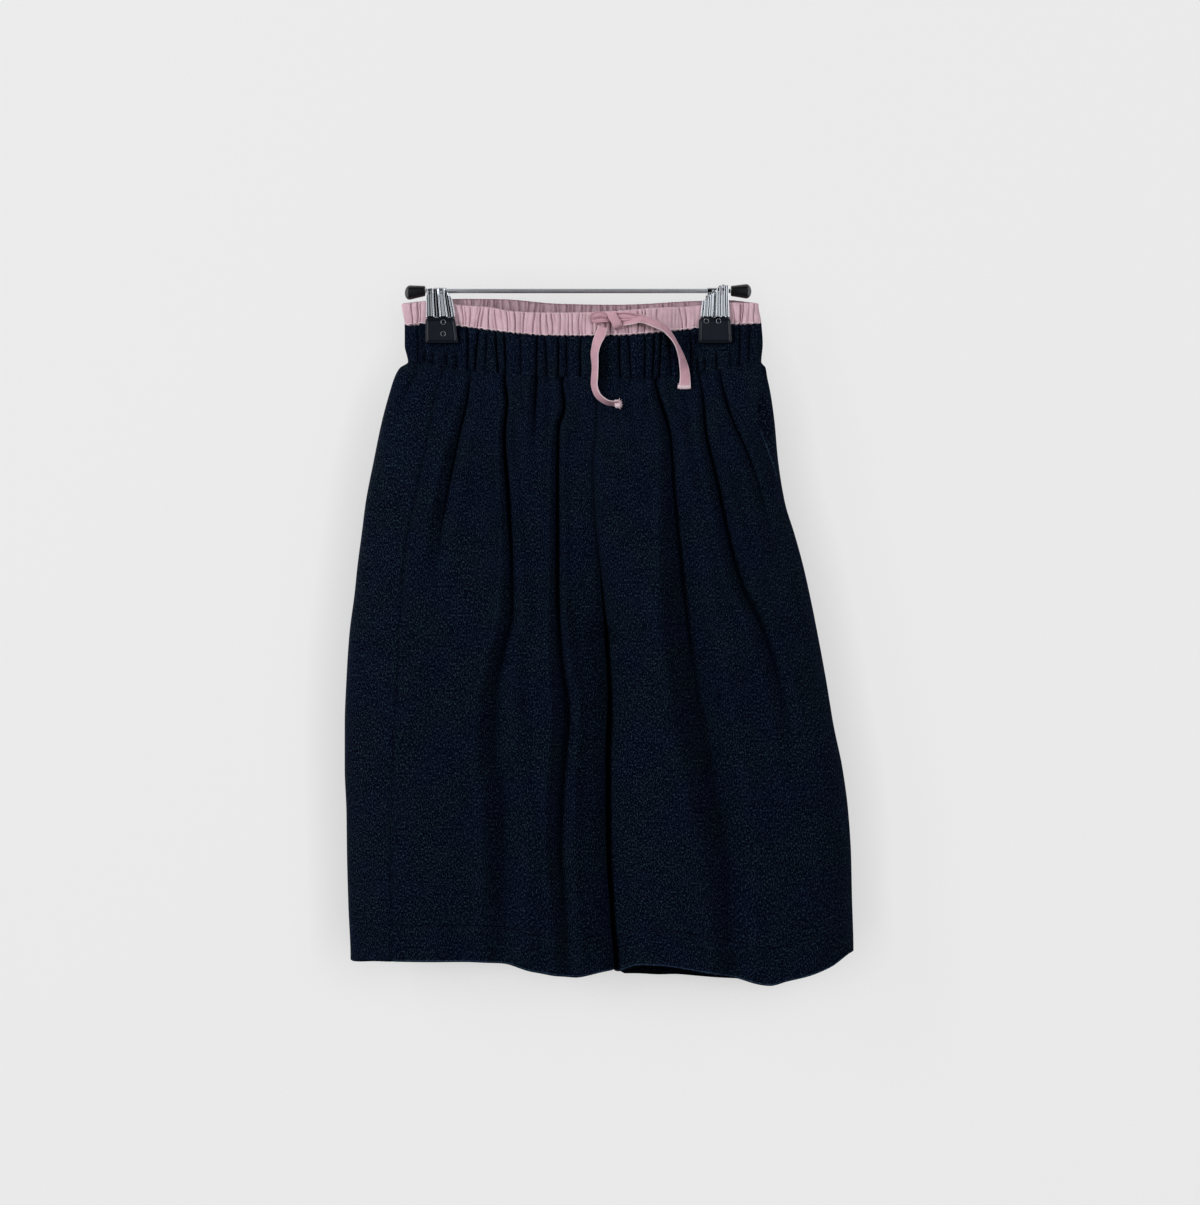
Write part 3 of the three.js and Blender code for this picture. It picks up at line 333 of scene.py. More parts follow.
# Small creases of the panels, from the waist seam down: x and z of both ends, depth, half width and bow.
CREASE_ROWS = {
    (Leg.RIGHT, Side.FRONT): [
        (-64, -58, -66, -88, 1.1, 2.2, 1), (-40, -60, -37, -92, 1, 2.4, -1),
        (-20, -60, -20, -104, 0.9, 2.6, 1), (2, -62, -1, -112, 1.2, 2.6, 1.5),
        (-84, -56, -93, -118, 0.8, 2.4, 2), (-57, -92, -60, -170, 0.7, 3.4, 2),
        (-30, -150, -27, -250, 0.7, 5, 2), (-72, -180, -84, -290, 0.7, 7, -3),
        (-34, -286, -30, -400, 0.9, 6, 2), (-100, -250, -104, -372, 0.6, 8, 3),
        (-78, -330, -74, -440, 0.7, 8, 3), (4, -190, 0, -300, 0.9, 5, 3), (4, -330, 6, -430, 0.8, 4.5, -2),
        (-24, -60, -27, -80, -0.6, 2.2, 0), (-118, -330, -112, -440, 0.5, 6, 2),
        (-92, -438, -60, -430, 0.35, 3.4, 2),
    ],
    (Leg.LEFT, Side.FRONT): [
        (26, -62, 27, -96, 1.1, 2.4, -1), (37, -62, 41, -124, 1, 2.6, 1), (46, -62, 50, -92, 0.9, 2.2, 0),
        (72, -62, 77, -112, 1.1, 2.6, -1), (111, -56, 124, -84, 0.8, 2.2, 1),
        (33, -110, 38, -210, 0.8, 4.4, 3), (49, -130, 47, -230, 0.8, 5, -2),
        (80, -130, 98, -250, 0.7, 6, 3), (110, -128, 124, -180, 0.9, 4, 2), (28, -250, 34, -380, 0.7, 6, 3),
        (56, -290, 70, -420, 0.7, 7, -4), (116, -260, 130, -400, 0.8, 9, 4),
        (44, -400, 40, -444, 0.7, 4, 2), (150, -210, 164, -330, 0.6, 7, 3),
        (78, -436, 100, -428, 0.3, 3, 1), (126, -420, 132, -466, 0.8, 5, 1),
        (34, -428, 25, -452, 1.6, 3, -2), (40, -452, 27, -462, 1, 2.4, 1),
    ],
    (Leg.RIGHT, Side.BACK): [
        (-26, -58, -28, -120, 1, 2.6, 1), (-52, -58, -57, -110, 1.1, 2.6, -1),
        (-79, -56, -86, -130, 0.9, 2.8, 2), (0, -60, -2, -140, 1, 3, 1), (-60, -150, -64, -280, 0.8, 6, 3),
        (-34, -230, -36, -370, 0.8, 7, -3), (-104, -230, -112, -380, 0.8, 8, 4),
        (-70, -330, -66, -440, 0.7, 7, 3), (2, -180, -1, -330, 0.8, 5, 2),
        (-128, -150, -140, -260, 0.6, 5, 2),
    ],
    (Leg.LEFT, Side.BACK): [
        (24, -60, 25, -130, 1, 2.6, 1), (49, -58, 53, -112, 1.1, 2.6, -1), (74, -56, 80, -124, 1, 2.8, 2),
        (99, -56, 110, -120, 0.9, 2.8, 1), (64, -160, 70, -290, 0.8, 6, 3),
        (34, -240, 38, -390, 0.8, 6, -3), (96, -260, 106, -400, 0.8, 8, 4),
        (140, -250, 158, -390, 0.7, 8, -3), (76, -340, 80, -440, 0.7, 7, 2),
        (124, -140, 138, -220, 0.6, 5, 2),
    ],
}
CREASES = {face: [Crease(*row) for row in rows] for face, rows in CREASE_ROWS.items()}


def mix(a: Values, b: Values, share: Values) -> Values:
    """Goes from a at share 0 to b at share 1."""
    return a + (b - a) * share


def ease(none: float, full: float, place: Values) -> Values:
    """Goes from 0 at one place to 1 at the other, with soft ends."""
    t = np.clip((place - none) / (full - none), 0, 1)
    return t * t * (3 - 2 * t)


def bell(away: Values, half: Values) -> Values:
    """Goes from 1 at no distance softly down to 0, and is about a third at the half width."""
    return np.exp(-((away / half) ** 2))


def round_off(distance: Values, length: Values) -> Values:
    """A quarter round: 0 at an edge and 1 from the given length on."""
    return np.sqrt(1 - (1 - np.clip(distance / length, 0, 1)) ** 2)


def spaced(count: int, crowding: float) -> np.ndarray:
    """Shares from 0 to 1 that crowd towards both ends.

    Args:
        count: How many shares.
        crowding: 0 for even steps, and close to 1 for very short steps at the ends.

    Returns:
        The shares, in order.
    """
    t = np.linspace(0, 1, count)
    return t - crowding * np.sin(2 * math.pi * t) / (2 * math.pi)


def runs(*stretches: tuple[float, float, int]) -> np.ndarray:
    """Levels from stretches that follow on, each from one level to another in a number of steps."""
    parts = [np.linspace(start, end, steps, endpoint=False) for start, end, steps in stretches]
    return np.concatenate([*parts, [stretches[-1][1]]])


def run_along(line: np.ndarray) -> np.ndarray:
    """How far along a line each of its points lies."""
    return np.concatenate([[0], np.cumsum(np.linalg.norm(np.diff(line, axis=0), axis=1))])


def fold_depth(fold: Table, shoulder: float, x: np.ndarray, level: np.ndarray) -> np.ndarray:
    """Depth of a large fold.

    Args:
        fold: The fold's table.
        shoulder: How much of its depth the cloth stands up by, close beside it.
        x: Places across.
        level: Their levels.

    Returns:
        How far the cloth sinks there, before its fullness counts.
    """
    away = np.abs(x - fold.at("x", level)) / fold.at("half", level)
    return fold.at("depth", level) * (np.exp(-2.4 * away**2) - shoulder * np.exp(-4 * (away - 1.2) ** 2))


def pinch_at(x: Values, level: Values) -> Values:
    """How much the clips press the front and the back together.

    Args:
        x: Places across.
        level: Their levels.

    Returns:
        A share from 0 to 1, which is 1 in the jaws.
    """
    grips = []
    for leg, clip in CLIP_X.items():
        away = np.maximum(np.abs(x - clip) - PINCH_FLAT, 0)
        grip = bell(away, PINCH_REACH)
        grips.append(np.where(leg.value * (x - clip) > 0, mix(PINCH_OUTSIDE, 1, grip), grip))
    return np.maximum(*grips) * SECTION.at("pinch", level)


@dataclass
class Surface:
    """Places on the cloth: across and level, with their height, and the relief that they get there.

    The clips press the large relief flat. The small relief stays, but for what lies in the jaws.
    """

    x: np.ndarray
    level: np.ndarray
    z: np.ndarray
    large: np.ndarray
    small: np.ndarray

    def depth(self, free: Values, inset: Values) -> np.ndarray:
        """How far the cloth stands off the middle plane.

        Args:
            free: How far it would stand off with no clip and no relief.
            inset: 0 for the outer face, and the wall's thickness for the inner one.

        Returns:
            The depth in millimetres.
        """
        pinch = pinch_at(self.x, self.level)
        jaws = np.zeros_like(self.x)
        for clip in CLIP_X.values():
            jaws = np.maximum(jaws, ease(JAW_REACH + 3, JAW_REACH, np.abs(self.x - clip)))
        held = jaws * ease(JAW_FOOT - 5, JAW_FOOT, self.level)
        return mix(free, JAW_DEPTH, pinch) - inset + self.large * (1 - pinch) + self.small * (1 - held)


def panel_point(leg: Leg, side: Side, places: Surface, inset: Values) -> np.ndarray:
    """Points of a leg's cloth.

    Args:
        leg: The leg that the cloth belongs to.
        side: The face that it hangs in.
        places: Where on the cloth, and how far it stands out there.
        inset: 0 for the outer face, and the wall's thickness for the inner one.

    Returns:
        The points, in millimetres.
    """
    out = leg.value
    outer = OUTLINE.at(leg.word, places.level)
    inner = centre_at(leg, places.level)
    left_over = CENTRE.at("left_over", places.level)
    middle, half = (outer + inner) / 2, np.abs(outer - inner) / 2
    narrowing = np.where(out * (places.x - middle) > 0, inset, inset * (1 - left_over))
    side_round = round_off(np.abs(outer - places.x), SECTION.at("round", places.level))
    turn = round_off(np.abs(places.x - inner), CENTRE.at("turn", places.level))
    free = SECTION.at(side.word, places.level)
    y = np.maximum(places.depth(free, inset) * side_round * mix(left_over, 1, turn), LEAST_DEPTH)
    shift = out * CENTRE.at("stagger", places.level) * (1 - turn)
    x = middle + (places.x - middle) * (half - narrowing) / half
    return np.stack([x, shift + side.value * y, places.z], axis=-1)


def band_point(side: Side, places: Surface, inset: float) -> np.ndarray:
    """Points of a band, which runs over the centre with no seam there.

    Args:
        side: The face that the band hangs in.
        places: Where on the band, and how far it stands out there.
        inset: 0 for the outer face, and the wall's thickness for the inner one.

    Returns:
        The points, in millimetres.
    """
    right, left = OUTLINE.at("right", places.level), OUTLINE.at("left", places.level)
    middle, half = (right + left) / 2, (left - right) / 2
    rounding = round_off(np.minimum(places.x - right, left - places.x), SECTION.at("round", places.level))
    free = SECTION.at(side.word, places.level)
    y = np.maximum(places.depth(free, inset) * rounding, LEAST_DEPTH)
    x = middle + (places.x - middle) * (half - inset) / half
    return np.stack([x, side.value * y, places.z], axis=-1)


def centre_at(leg: Leg, level: Values) -> Values:
    """Where a leg's cloth ends at the centre seam, or at the line between the legs."""
    return CENTRE.at("x", level) + leg.value * (CENTRE.at("gap", level) - SEAM_OVERLAP)


def left_seam_at(level: Values) -> Values:
    """Where the left side seam runs, bending in along the pocket mouth."""
    return OUTLINE.at("left", level) - LEFT_SEAM.at("inset", level)


def front_face(x: float, z: float) -> float:
    """How far out the front's crowns lie, from the top of the casing to the panels.

    Args:
        x: The place across.
        z: Its height.

    Returns:
        The distance from the middle plane, in millimetres.
    """
    edges = WAIST_EDGES[Side.FRONT]
    seam, waist = edges.at("seam", x), edges.at("waist", x)
    level = z
    if z > waist:
        level = min(mix(CASING_SEAM, WAIST_SEAM, (seam - z) / (seam - waist)), CASING_TOP)
    else:
        # A few rounds settle the level, because the bend depends on it.
        for _ in range(8):
            level = z - (waist - WAIST_SEAM) * ease(WAIST_BEND_FOOT, WAIST_SEAM, level)
    pinch = pinch_at(x, level)
    return float(mix(SECTION.at("front", level), JAW_DEPTH, pinch) + CROWN_RISE * (1 - pinch))


def linear(colour: str) -> tuple[float, float, float, float]:
    """Turns an sRGB colour into the linear one that shaders and lights take.

    Args:
        colour: Six hexadecimal digits after a hash sign.

    Returns:
        Red, green, blue and an alpha of 1.
    """
    shares = [int(colour[i:i + 2], 16) / 255 for i in (1, 3, 5)]
    red, green, blue = (s / 12.92 if s <= 0.04045 else ((s + 0.055) / 1.055) ** 2.4 for s in shares)
    return red, green, blue, 1.0


def add_node(tree: bpy.types.NodeTree, kind: str, sockets: dict | None = None,
             **settings: object) -> bpy.types.Node:
    """Adds a node.

    Args:
        tree: The node tree that it goes into.
        kind: The node's type.
        sockets: A value, or another node's output, for each input by its name or number.
        settings: The node's own properties.

    Returns:
        The node.
    """
    made = tree.nodes.new(kind)
    for name, value in settings.items():
        setattr(made, name, value)
    for name, value in (sockets or {}).items():
        if isinstance(value, bpy.types.NodeSocket):
            tree.links.new(value, made.inputs[name])
        else:
            made.inputs[name].default_value = value
    return made


# Sockets of a Mix node that mixes colours.
MIX_SHARE, MIX_A, MIX_B, MIX_RESULT = 0, 6, 7, 2


class Finish:
    """What every finish shares: a named material with one shader at the end of its tree."""

    name: str
    # Blender's pointiness at the bottom of a crease and on an even face, between which shade is painted into the
    # colour.
    hollow, even = 0.42, 0.5

    def build(self) -> bpy.types.Material:
        """Makes the material, with its shader linked to the surface.

        Returns:
            The material.
        """
        material = bpy.data.materials.new(self.name)
        material.use_nodes = True
        tree = material.node_tree
        tree.nodes.clear()
        add_node(tree, "ShaderNodeOutputMaterial", {"Surface": self.shader(tree).outputs[0]})
        return material

    def paint_crease_shade(self, tree: bpy.types.NodeTree, colour: bpy.types.Node, shade: str) -> bpy.types.Node:
        """Paints shade into a cloth's colour down in its creases, darkening it where the folds would shade it.

        Args:
            tree: The material's tree.
            colour: The colour so far.
            shade: The colour at the bottom of a crease.

        Returns:
            The node that gives the colour with the painted shade in its creases.
        """
        bend = add_node(tree, "ShaderNodeNewGeometry").outputs["Pointiness"]
        open_share = add_node(tree, "ShaderNodeMapRange", {
            "Value": bend, "From Min": self.hollow, "From Max": self.even})
        return add_node(tree, "ShaderNodeMix", {
            MIX_SHARE: open_share.outputs[0], MIX_A: linear(shade), MIX_B: colour.outputs[MIX_RESULT]},
            data_type="RGBA")


@dataclass(frozen=True)
class BrushedTwill(Finish):
    """Cotton twill, yarn-dyed, woven and brushed on its face."""

    name: str = "navy_brushed_twill"
    ground: str = "#050a19"
    deep: str = "#030613"
    fibre: str = "#354950"
    fibre_violet: str = "#33425a"
    # The yarn is about 0.4 mm. The diagonal is drawn at 1.1 mm so that it shows a step away.
    rib: float = 1.1 * MM
    fleck: float = 0.85 * MM
    cloud: float = 16 * MM
    # The colour of the painted shade at the bottom of a crease.
    shade: str = "#02040c"
    # The noise of the nap where no loose fibre shows, and where they are thickest.
    bare: float = 0.51
    thick: float = 0.75

    def shader(self, tree: bpy.types.NodeTree) -> bpy.types.Node:
        """Near-black navy whose brushed nap shows as a fine, pale heather of loose fibres.

        Args:
            tree: The material's tree.

        Returns:
            The shader.
        """
        cut = add_node(tree, "ShaderNodeUVMap", uv_map=CUT_MAP).outputs["UV"]
        drawn = add_node(tree, "ShaderNodeMapping", {"Vector": cut, "Scale": (1, 0.55, 1)}).outputs[0]
        flecks = add_node(tree, "ShaderNodeTexNoise", {
            "Vector": drawn, "Scale": 1 / self.fleck, "Detail": 3, "Roughness": 0.7})
        clouds = add_node(tree, "ShaderNodeTexNoise", {"Vector": cut, "Scale": 1 / self.cloud, "Detail": 4})
        heather = add_node(tree, "ShaderNodeMapRange", {
            "Value": flecks.outputs["Fac"], "From Min": self.bare, "From Max": self.thick})
        patches = add_node(tree, "ShaderNodeMapRange", {
            "Value": clouds.outputs["Fac"], "From Min": 0.35, "From Max": 0.65})
        ground = add_node(tree, "ShaderNodeMix", {
            MIX_SHARE: patches.outputs[0], MIX_A: linear(self.deep), MIX_B: linear(self.ground)},
            data_type="RGBA")
        hue = add_node(tree, "ShaderNodeTexNoise", {"Vector": cut, "Scale": 0.45 / self.cloud, "Detail": 2})
        hue_share = add_node(tree, "ShaderNodeMapRange", {
            "Value": hue.outputs["Fac"], "From Min": 0.4, "From Max": 0.6})
        fibres = add_node(tree, "ShaderNodeMix", {
            MIX_SHARE: hue_share.outputs[0], MIX_A: linear(self.fibre),
            MIX_B: linear(self.fibre_violet)}, data_type="RGBA")
        colour = add_node(tree, "ShaderNodeMix", {
            MIX_SHARE: heather.outputs[0], MIX_A: ground.outputs[MIX_RESULT],
            MIX_B: fibres.outputs[MIX_RESULT]}, data_type="RGBA")
        # Shade is painted into the colour down in the creases.
        colour = self.paint_crease_shade(tree, colour, self.shade)
        turn = 2 * math.pi / self.rib
        across = add_node(tree, "ShaderNodeVectorMath", {0: cut, 1: (turn, turn * 0.8, 0)},
                          operation="DOT_PRODUCT")
        twill = add_node(tree, "ShaderNodeMath", {0: across.outputs["Value"]}, operation="SINE")
        raised = add_node(tree, "ShaderNodeMath", {
            0: twill.outputs[0], 1: 0.35, 2: flecks.outputs["Fac"]}, operation="MULTIPLY_ADD")
        bump = add_node(tree, "ShaderNodeBump", {
            "Height": raised.outputs[0], "Strength": 0.5, "Distance": 0.25 * MM})
        return add_node(tree, "ShaderNodeBsdfPrincipled", {
            "Base Color": colour.outputs[MIX_RESULT], "Roughness": 0.95, "Specular IOR Level": 0.01,
            "Sheen Weight": 0.004, "Sheen Roughness": 0.5, "Sheen Tint": linear("#8fa4cc"),
            "Normal": bump.outputs[0]})


@dataclass(frozen=True)
class PlainCotton(Finish):
    """Cotton poplin or tape, plain woven and piece-dyed a dusty pink."""

    name: str = "pink_poplin"
    ground: str = "#dfbfca"
    worn: str = "#cda9b5"
    # The threads are about 0.25 mm apart. They are drawn at 0.8 mm so that the weave shows.
    thread: float = 0.8 * MM
    cloud: float = 7 * MM
    selvedge: float = 0.0
    edge: str = "#dfc8d0"
    # The colour of the painted shade at the bottom of a crease.
    shade: str = "#8d6a76"

    def edged(self, tree: bpy.types.NodeTree, cut: bpy.types.NodeSocket,
              colour: bpy.types.Node) -> bpy.types.Node:
        """Lightens both edges of a tape, where the weft turns back and the weave is closer.

        Args:
            tree: The material's tree.
            cut: The place on the flat tape.
            colour: The colour so far.

        Returns:
            The node that gives the edged colour.
        """
        across = add_node(tree, "ShaderNodeSeparateXYZ", {0: cut}).outputs[0]
        away = add_node(tree, "ShaderNodeMath", {0: across}, operation="ABSOLUTE")
        share = add_node(tree, "ShaderNodeMapRange", {
            "Value": away.outputs[0], "From Min": self.selvedge - 0.3 * MM, "From Max": self.selvedge})
        return add_node(tree, "ShaderNodeMix", {
            MIX_SHARE: share.outputs[0], MIX_A: colour.outputs[MIX_RESULT], MIX_B: linear(self.edge)},
            data_type="RGBA")

    def shader(self, tree: bpy.types.NodeTree) -> bpy.types.Node:
        """A matt, even weave with slightly darker rubbed patches.

        Args:
            tree: The material's tree.

        Returns:
            The shader.
        """
        cut = add_node(tree, "ShaderNodeUVMap", uv_map=CUT_MAP).outputs["UV"]
        turn = 2 * math.pi / self.thread
        waves = []
        for direction in ((turn, 0, 0), (0, turn, 0)):
            along = add_node(tree, "ShaderNodeVectorMath", {0: cut, 1: direction}, operation="DOT_PRODUCT")
            waves.append(add_node(tree, "ShaderNodeMath", {0: along.outputs["Value"]}, operation="SINE"))
        weave = add_node(tree, "ShaderNodeMath", {0: waves[0].outputs[0], 1: waves[1].outputs[0]},
                         operation="MULTIPLY")
        slub = add_node(tree, "ShaderNodeTexNoise", {"Vector": cut, "Scale": 0.7 / self.thread, "Detail": 3})
        clouds = add_node(tree, "ShaderNodeTexNoise", {"Vector": cut, "Scale": 1 / self.cloud, "Detail": 3})
        share = add_node(tree, "ShaderNodeMath", {
            0: slub.outputs["Fac"], 1: 0.5, 2: clouds.outputs["Fac"]}, operation="MULTIPLY_ADD")
        patches = add_node(tree, "ShaderNodeMapRange", {
            "Value": share.outputs[0], "From Min": 0.5, "From Max": 1.0})
        colour = add_node(tree, "ShaderNodeMix", {
            MIX_SHARE: patches.outputs[0], MIX_A: linear(self.worn), MIX_B: linear(self.ground)},
            data_type="RGBA")
        if self.selvedge:
            colour = self.edged(tree, cut, colour)
        # Shade is painted into the colour down in the creases.
        colour = self.paint_crease_shade(tree, colour, self.shade)
        raised = add_node(tree, "ShaderNodeMath", {
            0: weave.outputs[0], 1: 0.4, 2: slub.outputs["Fac"]}, operation="MULTIPLY_ADD")
        bump = add_node(tree, "ShaderNodeBump", {
            "Height": raised.outputs[0], "Strength": 0.35, "Distance": 0.15 * MM})
        return add_node(tree, "ShaderNodeBsdfPrincipled", {
            "Base Color": colour.outputs[MIX_RESULT], "Roughness": 0.85, "Specular IOR Level": 0.15,
            "Sheen Weight": 0.05, "Normal": bump.outputs[0]})


@dataclass(frozen=True)
class SewingThread(Finish):
    """Spun polyester sewing thread, twisted."""

    name: str = "navy_thread"
    colour: str = "#0b1226"
    ply: float = 0.5 * MM

    def shader(self, tree: bpy.types.NodeTree) -> bpy.types.Node:
        """A satin thread whose twist catches the light in short bars, bumped and with shade painted into its colour
        between them.

        Args:
            tree: The material's tree.

        Returns:
            The shader.
        """
        place = add_node(tree, "ShaderNodeTexCoord").outputs["Object"]
        twist = add_node(tree, "ShaderNodeTexNoise", {"Vector": place, "Scale": 1 / self.ply, "Detail": 1})
        # Painted shade: the colour darkens to 0.6 of itself in the twist's darker patches.
        shade = add_node(tree, "ShaderNodeMix", {
            MIX_SHARE: twist.outputs["Fac"], MIX_B: linear(self.colour),
            MIX_A: tuple(0.6 * c for c in linear(self.colour)[:3]) + (1,)}, data_type="RGBA")
        bump = add_node(tree, "ShaderNodeBump", {
            "Height": twist.outputs["Fac"], "Strength": 0.4, "Distance": 0.1 * MM})
        return add_node(tree, "ShaderNodeBsdfPrincipled", {
            "Base Color": shade.outputs[MIX_RESULT], "Roughness": 0.6, "Specular IOR Level": 0.2,
            "Normal": bump.outputs[0]})


@dataclass(frozen=True)
class PlatedSteel(Finish):
    """Pressed steel, nickel and chromium plated."""

    name: str = "chrome_plate"
    colour: str = "#d9dbdd"
    dull: str = "#c9ccd0"
    grain: float = 1.2 * MM
    least_rough: float = 0.06
    most_rough: float = 0.11

    def shader(self, tree: bpy.types.NodeTree) -> bpy.types.Node:
        """A bright mirror with faint handling marks that blur it in patches.

        Args:
            tree: The material's tree.

        Returns:
            The shader.
        """
        place = add_node(tree, "ShaderNodeTexCoord").outputs["Object"]
        marks = add_node(tree, "ShaderNodeTexNoise", {"Vector": place, "Scale": 1 / self.grain, "Detail": 5})
        rough = add_node(tree, "ShaderNodeMapRange", {
            "Value": marks.outputs["Fac"], "From Min": 0.3, "From Max": 0.7,
            "To Min": self.least_rough, "To Max": self.most_rough})
        tint = add_node(tree, "ShaderNodeMix", {
            MIX_SHARE: marks.outputs["Fac"], MIX_A: linear(self.dull), MIX_B: linear(self.colour)},
            data_type="RGBA")
        return add_node(tree, "ShaderNodeBsdfPrincipled", {
            "Base Color": tint.outputs[MIX_RESULT], "Metallic": 1.0, "Roughness": rough.outputs[0]})


@dataclass(frozen=True)
class MouldedVinyl(Finish):
    """Soft PVC, injection moulded over the jaw."""

    name = "black_vinyl"
    colour: str = "#0b131f"
    deep: str = "#060a11"
    grain: float = 0.7 * MM
    dust: float = 3 * MM

    def shader(self, tree: bpy.types.NodeTree) -> bpy.types.Node:
        """A satin blue-black skin with a fine leathery grain from the mould.

        Args:
            tree: The material's tree.

        Returns:
            The shader.
        """
        place = add_node(tree, "ShaderNodeTexCoord").outputs["Object"]
        grain = add_node(tree, "ShaderNodeTexVoronoi", {"Vector": place, "Scale": 1 / self.grain})
        dust = add_node(tree, "ShaderNodeTexNoise", {"Vector": place, "Scale": 1 / self.dust, "Detail": 4})
        tint = add_node(tree, "ShaderNodeMix", {
            MIX_SHARE: dust.outputs["Fac"], MIX_A: linear(self.deep), MIX_B: linear(self.colour)},
            data_type="RGBA")
        bump = add_node(tree, "ShaderNodeBump", {
            "Height": grain.outputs["Distance"], "Strength": 0.25, "Distance": 0.12 * MM})
        return add_node(tree, "ShaderNodeBsdfPrincipled", {
            "Base Color": tint.outputs[MIX_RESULT], "Roughness": 0.27, "IOR": 1.52,
            "Specular IOR Level": 0.35, "Normal": bump.outputs[0]})


@dataclass(frozen=True)
class MouldedStyrene(Finish):
    """Polystyrene, injection moulded and polished."""

    name = "black_styrene"
    colour: str = "#0b0c0e"
    deep: str = "#08090a"
    swirl: float = 4 * MM

    def shader(self, tree: bpy.types.NodeTree) -> bpy.types.Node:
        """Glossy black with faint swirls of polish in its roughness.

        Args:
            tree: The material's tree.

        Returns:
            The shader.
        """
        place = add_node(tree, "ShaderNodeTexCoord").outputs["Object"]
        swirl = add_node(tree, "ShaderNodeTexNoise", {"Vector": place, "Scale": 1 / self.swirl, "Detail": 4})
        rough = add_node(tree, "ShaderNodeMapRange", {
            "Value": swirl.outputs["Fac"], "From Min": 0.3, "From Max": 0.7, "To Min": 0.26, "To Max": 0.38})
        tint = add_node(tree, "ShaderNodeMix", {
            MIX_SHARE: swirl.outputs["Fac"], MIX_A: linear(self.deep), MIX_B: linear(self.colour)},
            data_type="RGBA")
        return add_node(tree, "ShaderNodeBsdfPrincipled", {
            "Base Color": tint.outputs[MIX_RESULT], "Roughness": rough.outputs[0], "IOR": 1.59})


@dataclass(frozen=True)
class SeamlessPaper(Finish):
    """Matt seamless paper, lit by itself so that it stays even."""

    name: str
    colour: str
    # Whether its back can be seen through, for views from behind.
    see_through: bool
    matt: str = "#4a4a4a"
    # The painted shadow round the garment: how far it reaches, and how dim the glow gets in it.
    painted_shadow_reach: float = 0.05
    painted_shadow_dimmest: float = 0.66
    glow: float = 0.93

    def shader(self, tree: bpy.types.NodeTree) -> bpy.types.Node:
        """An even, pale paper whose glow is dimmed a little close to the garment by a painted shadow.

        Args:
            tree: The material's tree.

        Returns:
            The shader.
        """
        matt = add_node(tree, "ShaderNodeBsdfDiffuse", {"Color": linear(self.matt)})
        # Ambient occlusion dims the glow close to the garment: a painted shadow.
        near = add_node(tree, "ShaderNodeAmbientOcclusion", {"Distance": self.painted_shadow_reach}, samples=6)
        soft = add_node(tree, "ShaderNodeMapRange", {
            "Value": near.outputs["AO"], "From Min": 0.4, "From Max": 1.0,
            "To Min": self.painted_shadow_dimmest, "To Max": self.glow})
        glow = add_node(tree, "ShaderNodeEmission", {
            "Color": linear(self.colour), "Strength": soft.outputs[0]})
        paper = add_node(tree, "ShaderNodeAddShader", {0: matt.outputs[0], 1: glow.outputs[0]})
        if self.see_through:
            clear = add_node(tree, "ShaderNodeBsdfTransparent")
            back = add_node(tree, "ShaderNodeNewGeometry").outputs["Backfacing"]
            paper = add_node(tree, "ShaderNodeMixShader", {
                0: back, 1: paper.outputs[0], 2: clear.outputs[0]})
        return paper


@dataclass(frozen=True)
class GlowingCard(Finish):
    """White card lit evenly from behind."""

    name = "card_paper"
    bright: float
    colour: str = "#f0f4fa"

    def shader(self, tree: bpy.types.NodeTree) -> bpy.types.Node:
        """An even, slightly cool glow."""
        return add_node(tree, "ShaderNodeEmission", {"Color": linear(self.colour), "Strength": self.bright})


@dataclass
class Form:
    """A mesh in the making: points in millimetres, faces, and the cut's own coordinates for the weave."""

    points: list = field(default_factory=list)
    faces: list = field(default_factory=list)
    cut: list = field(default_factory=list)

    @classmethod
    def of(cls, *skins: tuple) -> "Form":
        """Starts a form from closed skins.

        Args:
            skins: Each of them as add takes it.

        Returns:
            The form.
        """
        form = cls()
        for skin in skins:
            form.add(*skin)
        return form

    def add(self, points: np.ndarray, faces: Sequence[Sequence[int]], cut: np.ndarray | None = None) -> None:
        """Adds a closed skin to the form.

        Args:
            points: Its points.
            faces: Its faces, by the numbers of its own points.
            cut: Each point's place on the flat cloth in metres, or None where there is no weave.
        """
        first = len(self.points)
        flat = np.asarray(points, dtype=float).reshape(-1, 3)
        self.points.extend(flat.tolist())
        self.faces.extend([[i + first for i in face] for face in faces])
        self.cut.extend((flat[:, [0, 2]] * MM if cut is None else np.asarray(cut).reshape(-1, 2)).tolist())

    def piece(self, name: str, material: bpy.types.Material, slot: str, *nodes: str) -> bpy.types.Object:
        """Makes the object, on the part's body.

        Args:
            name: The piece's name.
            material: Its material.
            slot: The record's slot for its finish. It is not used.
            nodes: The solids that it stands for.

        Returns:
            The object.
        """
        mesh = bpy.data.meshes.new(name)
        mesh.from_pydata((np.array(self.points) * MM).tolist(), [], self.faces)
        mesh.validate()
        corners = np.empty(len(mesh.loops), dtype=np.int32)
        mesh.loops.foreach_get("vertex_index", corners)
        layer = mesh.uv_layers.new(name=CUT_MAP)
        layer.data.foreach_set("uv", np.array(self.cut)[corners].astype(np.float32).ravel())
        mesh.shade_smooth()
        mesh.materials.append(material)
        made = bpy.data.objects.new(name, mesh)
        bpy.context.scene.collection.objects.link(made)
        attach(made, BODY)
        if nodes:
            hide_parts(*nodes)
        LOG.info("%s: %d faces", name, len(mesh.polygons))
        return made


# How far a cloth's rim stands out, as a share of its thickness.
RIM_BULGE = 0.42


